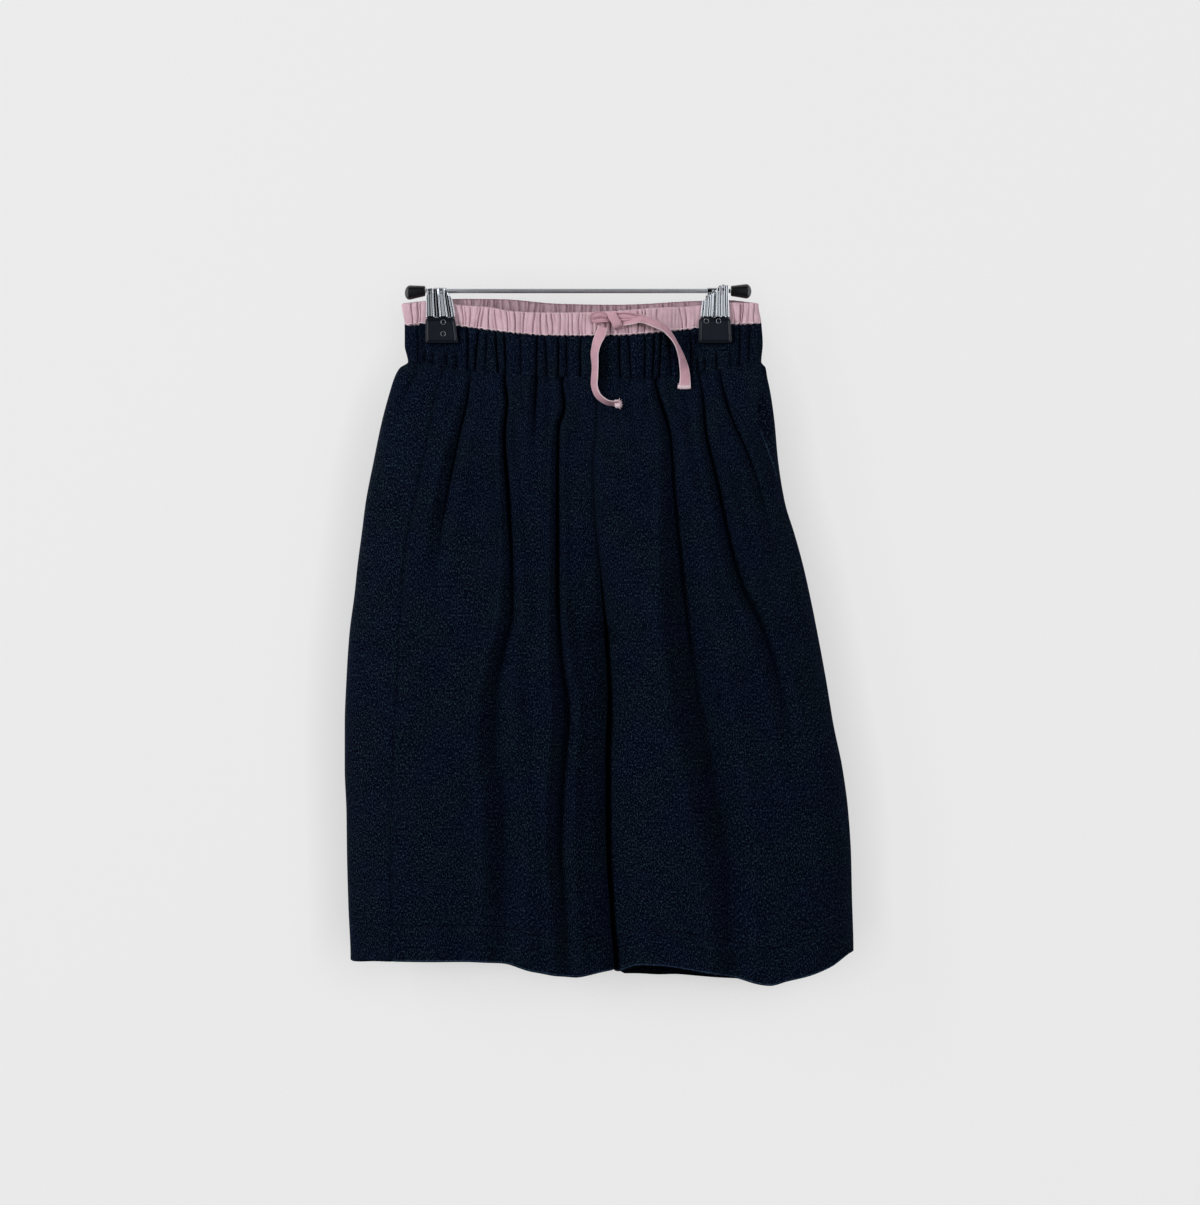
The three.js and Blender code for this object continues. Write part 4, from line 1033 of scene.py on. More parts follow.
def shell(outer: np.ndarray, inner: np.ndarray) -> tuple[np.ndarray, list, np.ndarray]:
    """A closed wall of cloth with rounded rims.

    Args:
        outer: Points of its outer face, by row and column.
        inner: Points of its inner face, in the same order.

    Returns:
        The wall's points, its faces, and each point's place on the flat cloth in metres.
    """
    rows, columns = outer.shape[:2]

    def rim(edge: int, next_in: int) -> np.ndarray:
        """Middle line of a rim, pushed out to round it.

        Args:
            edge: The rim's row.
            next_in: The row beside it.

        Returns:
            The line's points.
        """
        middle = (outer[edge] + inner[edge]) / 2
        away = middle - (outer[next_in] + inner[next_in]) / 2
        away /= np.linalg.norm(away, axis=-1, keepdims=True) + 1e-9
        thick = np.linalg.norm(outer[edge] - inner[edge], axis=-1, keepdims=True)
        return middle + away * thick * RIM_BULGE

    ring = np.concatenate([outer, rim(-1, -2)[None], inner[::-1], rim(0, 1)[None]])
    total = len(ring)
    at = np.arange(total * columns).reshape(total, columns)
    under = np.roll(at, -1, axis=0)
    quads = np.stack([at[:, :-1], under[:, :-1], under[:, 1:], at[:, 1:]], axis=-1).reshape(-1, 4).tolist()
    for column, order in ((0, 1), (columns - 1, -1)):
        for row in range(rows - 1):
            four = (row, total - 2 - row, total - 3 - row, row + 1)
            quads.append([int(at[i, column]) for i in four][::order])
        for three in ((rows - 1, rows + 1, rows), (0, total - 1, total - 2)):
            quads.append([int(at[i, column]) for i in three][::order])
    steps_x = np.linalg.norm(np.diff(outer, axis=1), axis=-1).mean(axis=0)
    steps_z = np.linalg.norm(np.diff(outer, axis=0), axis=-1).mean(axis=1)
    u = np.concatenate([[0], np.cumsum(steps_x)]) * MM
    v = np.concatenate([[0], -np.cumsum(steps_z)]) * MM
    v_ring = np.concatenate([v, [v[-1]], v[::-1], [0]])
    cut = np.stack(np.broadcast_arrays(u[None, :], v_ring[:, None]), axis=-1)
    return ring, quads, cut


def closed_loft(rings: np.ndarray) -> tuple[np.ndarray, list]:
    """A skin over rings of points, closed at both ends by a fan.

    Args:
        rings: Points by ring and place in the ring.

    Returns:
        The points and the faces.
    """
    count, sides = rings.shape[:2]
    at = np.arange(count * sides).reshape(count, sides)
    beside = np.roll(at, -1, axis=1)
    faces = np.stack([at[:-1], at[1:], beside[1:], beside[:-1]], axis=-1).reshape(-1, 4).tolist()
    ends = np.stack([rings[0].mean(axis=0), rings[-1].mean(axis=0)])
    first, last = count * sides, count * sides + 1
    faces += [[first, int(a), int(b)] for a, b in zip(at[0], beside[0])]
    faces += [[last, int(b), int(a)] for a, b in zip(at[-1], beside[-1])]
    return np.concatenate([rings.reshape(-1, 3), ends]), faces


def smooth_path(places: np.ndarray, count: int) -> np.ndarray:
    """Points along a smooth curve through rows of numbers, evenly spaced along its run.

    Args:
        places: A row of numbers for each place, a position in the first three.
        count: How many points.

    Returns:
        The rows at those points.
    """
    ends = np.concatenate([[2 * places[0] - places[1]], places, [2 * places[-1] - places[-2]]])
    fine = []
    for before, start, end, after in zip(ends, ends[1:], ends[2:], ends[3:]):
        for t in np.linspace(0, 1, 24, endpoint=False):
            fine.append(0.5 * (2 * start + (end - before) * t
                               + (2 * before - 5 * start + 4 * end - after) * t**2
                               + (3 * start - before - 3 * end + after) * t**3))
    line = np.array([*fine, places[-1]])
    run = run_along(line[:, :3])
    marks = np.linspace(0, run[-1], count)
    return np.stack([np.interp(marks, run, column) for column in line.T], axis=-1)


def ribbon(path: np.ndarray, width: Values, thick: float, twist: Values = 0.0,
           flat: float = 0.45, sides: int = 16, pleat: float = 0.0) -> tuple[np.ndarray, list, np.ndarray]:
    """A tape or a wire swept along a path.

    Args:
        path: Its middle line, in millimetres.
        width: Its width, or its width at each point.
        thick: Its thickness.
        twist: How far it is turned about its own line at each point, in radians, from facing the front.
        flat: The power of the section's round: 1 is an ellipse, and less is squarer.
        sides: Points round its section.
        pleat: Height of the pleats that run along it.

    Returns:
        The points, the faces, and each point's place on the flat cloth in metres.
    """
    width, twist = np.broadcast_to(width, len(path)), np.broadcast_to(twist, len(path))
    ahead = np.gradient(path, axis=0)
    ahead /= np.linalg.norm(ahead, axis=1, keepdims=True)
    front = np.array([0.0, -1.0, 0.0]) - ahead * (ahead @ np.array([0.0, -1.0, 0.0]))[:, None]
    front /= np.linalg.norm(front, axis=1, keepdims=True) + 1e-9
    across = np.cross(ahead, front)
    cos, sin = np.cos(twist)[:, None], np.sin(twist)[:, None]
    normal, wide = front * cos + across * sin, across * cos - front * sin
    turn = np.linspace(0, 2 * math.pi, sides, endpoint=False)
    a = np.sign(np.cos(turn)) * np.abs(np.cos(turn)) ** flat / 2
    b = np.sign(np.sin(turn)) * np.abs(np.sin(turn)) ** flat / 2
    rings = path[:, None] + wide[:, None] * a[:, None] * width[:, None, None] + normal[:, None] * (
        b[:, None] * thick + pleat * np.cos(5 * math.pi * a + 0.8)[:, None])
    points, faces = closed_loft(rings)
    run = run_along(path)
    cut = np.stack(np.broadcast_arrays(a[None, :] * width[:, None], run[:, None]), axis=-1).reshape(-1, 2)
    cut = np.concatenate([cut, [[0, 0], [0, run[-1]]]]) * MM
    return points, faces, cut


def turned(profile: Sequence[tuple[float, float]], start: Sequence[float], axis: int,
           sides: int = 48) -> tuple[np.ndarray, list]:
    """A turned form.

    Args:
        profile: Pairs of place along the axis and radius, in millimetres.
        start: The point on the axis that places are measured from.
        axis: 0 to turn it about X, and 1 about Y.
        sides: Points round it.

    Returns:
        The points and the faces.
    """
    turn = np.linspace(0, 2 * math.pi, sides, endpoint=False)
    rings = np.zeros((len(profile), sides, 3))
    for ring, (along, radius) in zip(rings, profile):
        ring[:, axis] = along
        ring[:, 1 - axis] = radius * np.cos(turn)
        ring[:, 2] = radius * np.sin(turn)
    return closed_loft(rings + np.asarray(start))


def rod_profile(half: float, radius: float, rim: float, bore: float) -> list[tuple[float, float]]:
    """Profile of a rod or a sleeve for turned.

    Args:
        half: Half of its length.
        radius: Its radius.
        rim: How far its rims are eased.
        bore: Radius that its end faces start from.

    Returns:
        Pairs of place along the axis, from its middle, and radius.
    """
    near = [(-half, bore), (-half, radius - rim), (-half + rim, radius)]
    return near + [(-along, wide) for along, wide in reversed(near)]


@dataclass(frozen=True)
class Stitch:
    """A row's stitches: from the start of one to the next, a stitch's length, and the thread's radius."""

    step: float
    long: float
    radius: float

    def sew(self, form: Form, line: np.ndarray) -> None:
        """Adds a row of stitches, each a short rounded thread.

        Args:
            form: The form that they are added to.
            line: The line that they follow, in millimetres.
        """
        run = run_along(line)
        shares = np.array([0.0, 0.12, 0.5, 0.88, 1.0])
        swell = np.array([0.25, 0.9, 1.0, 0.9, 0.25])
        turn = np.linspace(0, 2 * math.pi, 6, endpoint=False)
        for start in np.arange(0, run[-1] - self.long, self.step):
            marks = start + shares * self.long
            middle = np.stack([np.interp(marks, run, line[:, i]) for i in range(3)], axis=-1)
            ahead = middle[-1] - middle[0]
            ahead /= np.linalg.norm(ahead)
            side = np.cross(ahead, [0.0, 1.0, 0.0])
            side /= np.linalg.norm(side) + 1e-9
            up = np.cross(side, ahead)
            rings = middle[:, None] + self.radius * swell[:, None, None] * (
                side * np.cos(turn)[:, None] + up * np.sin(turn)[:, None])
            form.add(*closed_loft(rings))


def rest_on(points: np.ndarray, side: Side, lift: float) -> np.ndarray:
    """Moves points of an outer face out along Y by a small lift."""
    return points + np.array([0, side.value * lift, 0])


@dataclass
class Panels:
    """The four panels of the legs, with their hems and the stitches on them."""

    twill: bpy.types.Material
    # The paler twill of the pale edges: partly wear, partly a painted highlight on their rims.
    worn: bpy.types.Material
    thread: bpy.types.Material
    columns: int = 150
    crowding: float = 0.62
    # The creases below the waistband's gathers: how far down the longest run, how deep they are, the place
    # that they fan out from, how fast they do, and their half width and how fast it grows.
    tail_reach: float = 46.0
    tail_depth: float = 1.0
    tail_centre: float = 13.0
    tail_fan: float = 0.0028
    tail_half: float = 1.3
    tail_widening: float = 0.06
    keen_share: float = 0.6
    keen_half: float = 1.15
    hem_groove: float = 0.8
    hem_groove_half: float = 0.9
    hem_fold: float = 0.45
    hem_pucker: float = 0.3
    hem_stitch: Stitch = Stitch(3.2, 2.3, 0.22)
    seam_roll: float = 1.4
    seam_half: float = 1.5
    # How far a lifted edge's lift reaches, and the least lift that counts as an open edge.
    lift_reach: float = 4.0
    least_open: float = 0.15
    fullness: float = 1.1
    cut_length: float = 0.46
    # How wide the pale edge along the hems and the pocket mouth is; it is partly wear and partly a painted
    # highlight on its rim.
    worn_highlight_width: float = 0.9
    # From where to where the pocket mouth's edge is pale: worn, and with a painted highlight on its rim.
    mouth: tuple[float, float] = (-98.0, -136.0)

    def __post_init__(self) -> None:
        """Sets the levels of the rows, closest where the cloth is gathered and at the hem."""
        self.levels = runs((WAIST_SEAM, -56, 7), (-56, -130, 48), (-130, -430, 84),
                           (-430, HEM_STITCH + 3, 12), (HEM_STITCH + 3, HEM_STITCH - 3, 12),
                           (HEM_STITCH - 3, HEM + 1, 16), (HEM + 1, HEM, 3))

    def height(self, leg: Leg, side: Side, x: np.ndarray, level: np.ndarray) -> np.ndarray:
        """Heights of panel points.

        Args:
            leg: The panel's leg.
            side: The face that the points lie in.
            x: Places across.
            level: Their nominal levels.

        Returns:
            The levels, bent to follow the waist seam above and the hem below.
        """
        waist = WAIST_EDGES[side].at("waist", x) - WAIST_SEAM
        hem = HEM_EDGES[leg, side].at("z", x) - HEM
        above, below = ease(WAIST_BEND_FOOT, WAIST_SEAM, level), ease(HEM_BEND_TOP, HEM_STITCH, level)
        return level + waist * above + hem * below

    def tails(self, gathers: Sequence[tuple[float, float]], x: np.ndarray, level: np.ndarray) -> np.ndarray:
        """Depth of the creases that run down from the waistband's gathers and fan out.

        Args:
            gathers: Each gather's place across and its strength.
            x: Places across.
            level: Their levels.

        Returns:
            How far the cloth sinks there.
        """
        down = WAIST_SEAM - level
        depth = np.zeros_like(x)
        for number, (place, strength) in enumerate(gathers):
            reach = self.tail_reach * strength * (1 + 0.5 * math.sin(2.3 * number))
            line = place + (place - self.tail_centre) * self.tail_fan * down
            fade = np.clip(1 - down / reach, 0, 1) ** 1.5
            depth += self.tail_depth * strength * fade * bell(
                x - line, self.tail_half + self.tail_widening * down)
        return depth

    def large_relief(self, leg: Leg, side: Side, x: np.ndarray, level: np.ndarray) -> np.ndarray:
        """How far the cloth stands out in its crowns, its large folds and its slow waves.

        Args:
            leg: The panel's leg.
            side: The face that the points lie in.
            x: Places across.
            level: Their levels.

        Returns:
            The relief in millimetres.
        """
        relief = CROWN_RISE * ease(-190, -75, level) * ease(WAIST_SEAM + 2, -66, level)
        fullness = FOLD_DEPTH * mix(0.45, 1, ease(-80, -230, level))
        for fold in FOLDS[leg, side]:
            relief = relief - fullness * fold_depth(fold, SHOULDER, x, level)
        turn = 0.0 if side is Side.FRONT else 1.7
        return relief + ease(-70, -190, level) * (
            0.4 * np.sin(x / 9.7 + level / 71 + turn) + 0.25 * np.sin(x / 5.3 - level / 57 + 2 * turn)
            + 0.3 * np.sin(x / 17 + level / 33 + turn))

    def small_relief(self, leg: Leg, side: Side, x: np.ndarray, level: np.ndarray) -> np.ndarray:
        """How far the cloth sinks in at its small creases, at the keen lines of its folds and at the hem.

        Args:
            leg: The panel's leg.
            side: The face that the points lie in.
            x: Places across.
            level: Their levels.

        Returns:
            The relief in millimetres.
        """
        gathers = WAISTBAND_GATHERS if side is Side.FRONT else WaistBands.back_gathers()
        relief = -self.tails(gathers, x, level)
        for crease in CREASES[leg, side]:
            relief = relief - crease.at(x, level)
        for fold in FOLDS[leg, side]:
            keen = self.keen_share * fold.at("depth", level) * ease(-330, -90, level)
            relief = relief - keen * bell(x - fold.at("x", level), self.keen_half)
        near = level - HEM_STITCH
        relief = relief - self.hem_groove * bell(near, self.hem_groove_half)
        relief = relief + self.hem_fold * ease(0, -2, near)
        pucker = np.sin(x / 1.9 + 2 * np.sin(x / 13)) * (0.6 + 0.4 * np.sin(x / 7.1))
        return relief + self.hem_pucker * pucker * bell(near, 7)

    def face(self, leg: Leg, side: Side, start: np.ndarray, end: np.ndarray, columns: int,
             *seams: tuple[np.ndarray, Values]) -> Surface:
        """Places on one face of a panel.

        Args:
            leg: The panel's leg.
            side: The face.
            start: Where its first column runs, by level.
            end: Where its last column runs, by level.
            columns: How many columns.
            seams: Each seam's line, where the cloth rolls in, and how far it is lifted where it stands open.

        Returns:
            The places, with their heights and relief.
        """
        x = mix(start[:, None], end[:, None], spaced(columns, self.crowding)[None, :])
        level = np.broadcast_to(self.levels[:, None], x.shape)
        large, small = self.large_relief(leg, side, x, level), self.small_relief(leg, side, x, level)
        for line, lift in seams:
            away = np.abs(x - line[:, None])
            raised = np.broadcast_to(np.asarray(lift, dtype=float).reshape(-1, 1), x.shape)
            roll = self.seam_roll * bell(away, self.seam_half) * (np.abs(raised) < self.least_open)
            small += np.exp(-away / self.lift_reach) * raised - roll
        return Surface(x, level, self.height(leg, side, x, level), large, small)

    def wall_at(self) -> np.ndarray:
        """The wall's thickness at each level: the hem is turned up double."""
        return mix(PANEL_WALL, HEM_WALL, ease(HEM_STITCH + 0.6, HEM_STITCH - 0.6, self.levels))[:, None]

    def build_panel(self, name: str, leg: Leg, *faces: tuple[Side, Surface]) -> None:
        """Makes one panel from its faces, which follow on from each other round the leg.

        Args:
            name: The solid that it stands for.
            leg: Its leg.
            faces: Each face and its places.
        """
        inset = self.wall_at()
        outer = np.concatenate([panel_point(leg, side, places, 0.0) for side, places in faces], axis=1)
        inner = np.concatenate([panel_point(leg, side, places, inset) for side, places in faces], axis=1)
        piece = Form.of(shell(outer, inner)).piece(f"{name}_cloth", self.twill, "navy_twill", name)

    def hem_stitches(self, leg: Leg, *faces: tuple[Side, Surface]) -> None:
        """Stitches of a leg's hem.

        Args:
            leg: The leg.
            faces: Each face and its places, all round the leg.
        """
        row = int(np.argmin(np.abs(self.levels - HEM_STITCH)))
        form = Form()
        for side, places in faces:
            line = panel_point(leg, side, places, 0.0)[row]
            self.hem_stitch.sew(form, rest_on(line, side, 0.12)[4:-4])
        form.piece(f"hem_stitches_{leg.word}", self.thread, "navy_twill")

    def worn_highlight_edge(self, name: str, line: np.ndarray) -> None:
        """Makes the pale fold along an edge, whose line is in millimetres: partly wear, partly a painted highlight
        on its rim.
        """
        raised = line + np.array([0, -0.2, 0.2])
        Form.of(ribbon(raised, self.worn_highlight_width, 0.5)).piece(name, self.worn, "navy_twill")

    def build(self) -> None:
        """Makes the four panels, the stitches of their hems and the pale edges that show, partly worn and partly a
        painted highlight.
        """
        levels, columns, over = self.levels, self.columns, SEAM_OVERLAP
        right, left = OUTLINE.at("right", levels), OUTLINE.at("left", levels)
        centre_right, centre_left = centre_at(Leg.RIGHT, levels), centre_at(Leg.LEFT, levels)
        right_seam, left_seam = RIGHT_SEAM.at("x", levels), left_seam_at(levels)
        lift = LEFT_SEAM.at("lift", levels)

        front_right = (Side.FRONT, self.face(Leg.RIGHT, Side.FRONT, right_seam - over, centre_right, columns,
                                             (right_seam, 0), (centre_right, 0)))
        front_left = (Side.FRONT, self.face(Leg.LEFT, Side.FRONT, centre_left, left_seam + over, columns,
                                            (centre_left, 0), (left_seam, lift)))
        back_right = (Side.BACK, self.face(Leg.RIGHT, Side.BACK, centre_right, right, columns,
                                           (centre_right, 0)))
        back_left = (Side.BACK, self.face(Leg.LEFT, Side.BACK, centre_left, left, columns,
                                          (centre_left, 0)))
        # The back's cloth rolls round to the front on both sides, more on the right one.
        round_right = (Side.FRONT, self.face(Leg.RIGHT, Side.FRONT, right, right_seam + over, columns // 3,
                                             (right_seam, 0)))
        round_left = (Side.FRONT, self.face(Leg.LEFT, Side.FRONT, left, left_seam - over, columns // 6,
                                            (left_seam, -lift)))
        rolled = round_right[1]
        rolled.large -= FOLD_DEPTH * fold_depth(RIGHT_SIDE_FOLD, 0.0, rolled.x, rolled.level)

        self.build_panel("front_panel_right", Leg.RIGHT, front_right)
        self.build_panel("front_panel_left", Leg.LEFT, front_left)
        self.build_panel("back_panel_right", Leg.RIGHT, back_right, round_right)
        self.build_panel("back_panel_left", Leg.LEFT, back_left, round_left)
        self.hem_stitches(Leg.RIGHT, front_right, back_right, round_right)
        self.hem_stitches(Leg.LEFT, front_left, back_left)
        for leg, (side, places) in ((Leg.RIGHT, front_right), (Leg.LEFT, front_left)):
            self.worn_highlight_edge(f"hem_edge_{leg.word}", panel_point(leg, side, places, 0.0)[-1, 3:-3:2])
        # The pocket mouth's pale edge: partly wear, partly a painted highlight.
        worn = (levels < self.mouth[0]) & (levels > self.mouth[1])
        self.worn_highlight_edge("pocket_mouth_edge", panel_point(Leg.LEFT, *front_left, 0.0)[worn, -2])


@dataclass(frozen=True)
class Gathering:
    """How a band is gathered.

    Its upper and lower edges are named as in the tables, with their levels. Then come its rows of points, its
    wall, a trough's depth and half width, a puff's height, and how far each edge is tucked in. The relief
    starts at a share of itself where the band comes out from under another, and the lower edge is scalloped.
    """

    upper: str
    lower: str
    levels: tuple[float, float]
    rows: int
    wall: float
    depth: float
    half: float
    rise: float
    upper_tuck: float
    lower_tuck: float
    under_seam: float
    scallop: float
    slot: str


@dataclass
class WaistBands:
    """The elasticated waistband and the narrow casing above it, front and back."""

    twill: bpy.types.Material
    poplin: bpy.types.Material
    # A darker, greyer copy of the poplin for the casing's back: painted shade on its inner face, which lies behind
    # the front, with some of the cloth's duller wrong side.
    shaded_poplin: bpy.types.Material
    edge: bpy.types.Material
    thread: bpy.types.Material
    columns: int = 600
    cut_width: float = 0.34
    waistband: Gathering = Gathering(
        "seam", "waist", (CASING_SEAM, WAIST_SEAM), rows=26, wall=WAISTBAND_WALL, depth=2.6, half=1.0,
        rise=1.25, upper_tuck=1.2, lower_tuck=0.5, under_seam=0.35, scallop=0.0, slot="navy_twill")
    casing: Gathering = Gathering(
        "top", "seam", (CASING_TOP, CASING_SEAM), rows=20, wall=CASING_WALL, depth=1.5, half=0.55,
        rise=0.6, upper_tuck=0.4, lower_tuck=0.15, under_seam=1.0, scallop=0.35, slot="pink_poplin")
    casing_stitch: Stitch = Stitch(2.4, 1.5, 0.2)

    @staticmethod
    def spread(count: int, start: float, end: float, sway: float, turn: float) -> list[tuple[float, float]]:
        """Gathers spread by rule between two places, unevenly spaced and of uneven strength.

        Args:
            count: How many.
            start: The place that they start from.
            end: The place that they end at.
            sway: How uneven the spacing is, as a share of it.
            turn: How fast the unevenness changes from one to the next, in radians.

        Returns:
            Each gather's place across and its strength.
        """
        pitch = (end - start) / count
        return [(start + pitch * (i + 0.5 + sway * math.sin(turn * i)),
                 0.6 + 0.25 * math.sin(turn * i * 1.6 + 1) + 0.2 * math.sin(0.9 * i)) for i in range(count)]

    @classmethod
    def back_gathers(cls) -> list[tuple[float, float]]:
        """Gathers of the waistband's back."""
        return cls.spread(27, -114, 121, 0.24, 2.1)

    @staticmethod
    def gathered(gathers: Sequence[tuple[float, float]], band: Gathering, x: np.ndarray,
                 share: np.ndarray) -> np.ndarray:
        """Relief of a gathered band: round puffs between narrow, wandering troughs.

        Args:
            gathers: Each trough's place across and its strength.
            band: The band's sizes.
            x: Places across.
            share: How far down the band each place is, from 0 to 1.

        Returns:
            The relief in millimetres.
        """
        places, strengths = np.array(gathers).T
        wander = (x + 0.5 * np.sin(3.1 * share + x / 5)
                  + (share - 0.5) * (np.sin(x / 6.3) + 0.7 * np.sin(x / 2.9)))
        i = np.clip(np.searchsorted(places, wander), 1, len(places) - 1)
        before, after = places[i - 1], places[i]
        u = np.clip((wander - before) / (after - before), 0, 1)
        puff = band.rise * np.sin(math.pi * u) ** 0.6 * np.minimum(np.sqrt((after - before) / 6), 1)
        dip = np.maximum(strengths[i - 1] * bell(wander - before, band.half),
                         strengths[i] * bell(wander - after, band.half))
        fine = 0.12 * np.sin(x * 2.1 + 2 * np.sin(x / 3.7) + 1.5 * share)
        return puff - band.depth * dip + fine

    def build_band(self, name: str, side: Side, gathers: Sequence[tuple[float, float]], band: Gathering,
                   material: bpy.types.Material) -> np.ndarray:
        """Makes one band.

        Args:
            name: The solid that it stands for.
            side: Its face.
            gathers: Its troughs.
            band: Its sizes.
            material: Its material.

        Returns:
            The points of its outer face.
        """
        share = np.broadcast_to(spaced(band.rows, 0.5)[:, None], (band.rows, self.columns))
        level = mix(*band.levels, share)
        right, left = OUTLINE.at("right", level), OUTLINE.at("left", level)
        x = mix(right, left, spaced(self.columns, 0.35)[None, :])
        relief = self.gathered(gathers, band, x, share) * mix(band.under_seam, 1, ease(0, 0.2, share))
        tuck = band.upper_tuck * bell(share, 0.1) + band.lower_tuck * bell(1 - share, 0.1)
        tip = ease(0, 3, np.minimum(x - right, left - x))
        upper, lower = (WAIST_EDGES[side].at(edge, x) for edge in (band.upper, band.lower))
        scallop = band.scallop * np.sin(x / 0.62 + np.sin(x / 2.3)) * share**4
        z = mix(upper, lower, share) - scallop
        places = Surface(x, level, z, np.zeros_like(x), (relief - tuck) * tip)
        outer = band_point(side, places, 0.0)
        piece = Form.of(shell(outer, band_point(side, places, band.wall))).piece(
            f"{name}_cloth", material, band.slot, name)
        return outer

    def build(self) -> None:
        """Makes both bands, front and back, and the stitches along the casing's lower edge."""
        self.build_band("waistband_front", Side.FRONT, WAISTBAND_GATHERS, self.waistband, self.twill)
        self.build_band("waistband_back", Side.BACK, self.back_gathers(), self.waistband, self.twill)
        # The casing is nearly flat for a stretch beside the left clip.
        fine_front = [*self.spread(56, -118, 58, 0.3, 1.9), (72, 0.3), (75, 0.4),
                      *self.spread(13, 80, 124, 0.3, 2.3)]
        fine_back = self.spread(66, -118, 124, 0.26, 2.2)
        stitches, fold = Form(), Form()
        for name, side, gathers, cloth in (("casing_front", Side.FRONT, fine_front, self.poplin),
                                           ("casing_back", Side.BACK, fine_back, self.shaded_poplin)):
            outer = self.build_band(name, side, gathers, self.casing, cloth)
            self.casing_stitch.sew(stitches, rest_on(outer[-5], side, 0.1)[6:-6])
            # A rolled fold along the casing's lower edge, in the paler pink: its paler colour is a painted
            # highlight along the edge.
            line = rest_on(outer[-1], side, 0.15)[4:-4] + np.array([0, 0, 0.2])
            fold.add(*ribbon(line, 0.8, 0.7, flat=0.8, sides=8))
        stitches.piece("casing_stitches", self.thread, "pink_poplin")
        fold.piece("casing_lower_fold_highlights", self.edge, "pink_poplin")


@dataclass
class Tie:
    """The flat tape tie: a simple knot at the centre front and its two free ends."""

    tape: bpy.types.Material
    edge: bpy.types.Material
    thread: bpy.types.Material
    width: float = 7.4
    thick: float = 0.9
    seat: float = 0.9
    # Rows of x, z and the width that shows from the front, in millimetres, from the knot out.
    end_right: tuple = (
        (17.2, -26.6, 7.2), (15.5, -31.6, 7.2), (13.4, -36.3, 6.7), (12, -41, 5.7), (11.3, -45.6, 5.4),
        (11.6, -51, 4.7), (11.6, -56.4, 4.4), (11.3, -61.7, 4.6), (11.1, -66.4, 4.4), (11.8, -70.4, 4.1),
        (13.4, -74.1, 3.9), (16.2, -77.1, 3.5), (20.2, -79.5, 3.2), (24.2, -80.2, 3.4), (27.6, -80.6, 5.0),
    )
    end_left: tuple = (
        (30, -22.4, 7.2), (36.9, -21.9, 6.4), (42.3, -20.9, 6), (47.6, -21.6, 6.4), (54.3, -24.6, 5.7),
        (59.7, -27.2, 5), (63.4, -30.9, 4), (66.4, -34.9, 3.2), (68.3, -38.3, 2.8), (70.4, -43, 3.6),
        (72.4, -49, 5), (73.9, -55.7, 6.7), (74.4, -61.7, 7.2), (74.1, -69, 7.4),
    )
    # The knot's laps: rows of x, distance out from the cloth, z and width, then its thickness and pleat.
    laps: tuple = (
        (((9, 0.9, -20.6, 2.6), (10.4, 2.6, -19.2, 3.8), (12.8, 3.4, -18, 4.2), (16, 3.6, -18, 3.8),
          (19.4, 3, -19, 3), (21.6, 2, -19.8, 2.6)), 1.5, 0.35),
        (((9.6, 0.9, -21.6, 2.4), (11.8, 2.3, -22.2, 3.4), (15, 3, -21.9, 3.8), (18.4, 2.8, -21.9, 3.2),
          (21.6, 2, -21.8, 2.8)), 1.4, 0.3),
        (((22, 1.6, -19.6, 5.6), (28, 3.3, -19.6, 6.8), (34, 2.9, -19.4, 6.6), (40, 2.1, -20.2, 5.8),
          (45, 1.3, -21, 5.2)), 1.3, 0.6),
        (((22.4, 0.8, -16.6, 6), (22.8, 4.2, -17.4, 6.2), (24.8, 5.2, -21, 6.4), (27.2, 4.8, -25.4, 6.4),
          (28.2, 2.4, -27.2, 6.2), (28.3, 0.9, -27.6, 6)), 1.0, 0.0),
    )
    knot_place: tuple[float, float] = (20.0, -22.0)
    stitch: Stitch = Stitch(1.3, 0.9, 0.18)

    def lay(self, rows: Sequence[tuple[float, float, float]], count: int) -> tuple[np.ndarray, np.ndarray]:
        """Lays an end over the front.

        Args:
            rows: Its places.
            count: How many points to lay.

        Returns:
            Its middle line, and its twist at each point.
        """
        places = []
        for x, z, seen in rows:
            twist = math.acos(min(seen / self.width, 1))
            reach = max(front_face(x + dx, z) for dx in (-3, 0, 3))
            lift = self.seat + self.thick / 2 + self.width / 2 * math.sin(twist) * 0.85
            places.append((x, -reach - lift, z, twist))
        line = smooth_path(np.array(places), count)
        return line[:, :3], line[:, 3]

    def free_end(self, name: str, rows: Sequence[tuple[float, float, float]], way: int, flare: float) -> np.ndarray:
        """Makes one free end.

        Args:
            name: The solid that it stands for.
            rows: Its places.
            way: 1 or -1, the way that it twists.
            flare: How much wider it gets at its very end, as a share.

        Returns:
            Its middle line.
        """
        line, twist = self.lay(rows, 90)
        width = self.width * (1 + flare * ease(0.86, 1, np.linspace(0, 1, len(line))))
        tape = Form.of(ribbon(line, width, self.thick, way * twist))
        piece = tape.piece(f"{name}_tape", self.tape, "pink_tape", name)
        return line

    def build(self) -> None:
        """Makes both ends, the knot between them and the small knot at the right end's tip."""
        right = self.free_end("tie_end_right", self.end_right, 1, -0.1)
        left = self.free_end("tie_end_left", self.end_left, -1, 0.12)
        self.finish_ends(right, left)
        knot = Form()
        face = front_face(*self.knot_place)
        for rows, thick, pleat in self.laps:
            places = smooth_path(np.array([(x, -face - out, z, width) for x, out, z, width in rows]), 48)
            knot.add(*ribbon(places[:, :3], places[:, 3], thick, flat=0.7, sides=36, pleat=pleat))
        knot.piece("tie_knot_tape", self.tape, "pink_tape", "tie_knot")

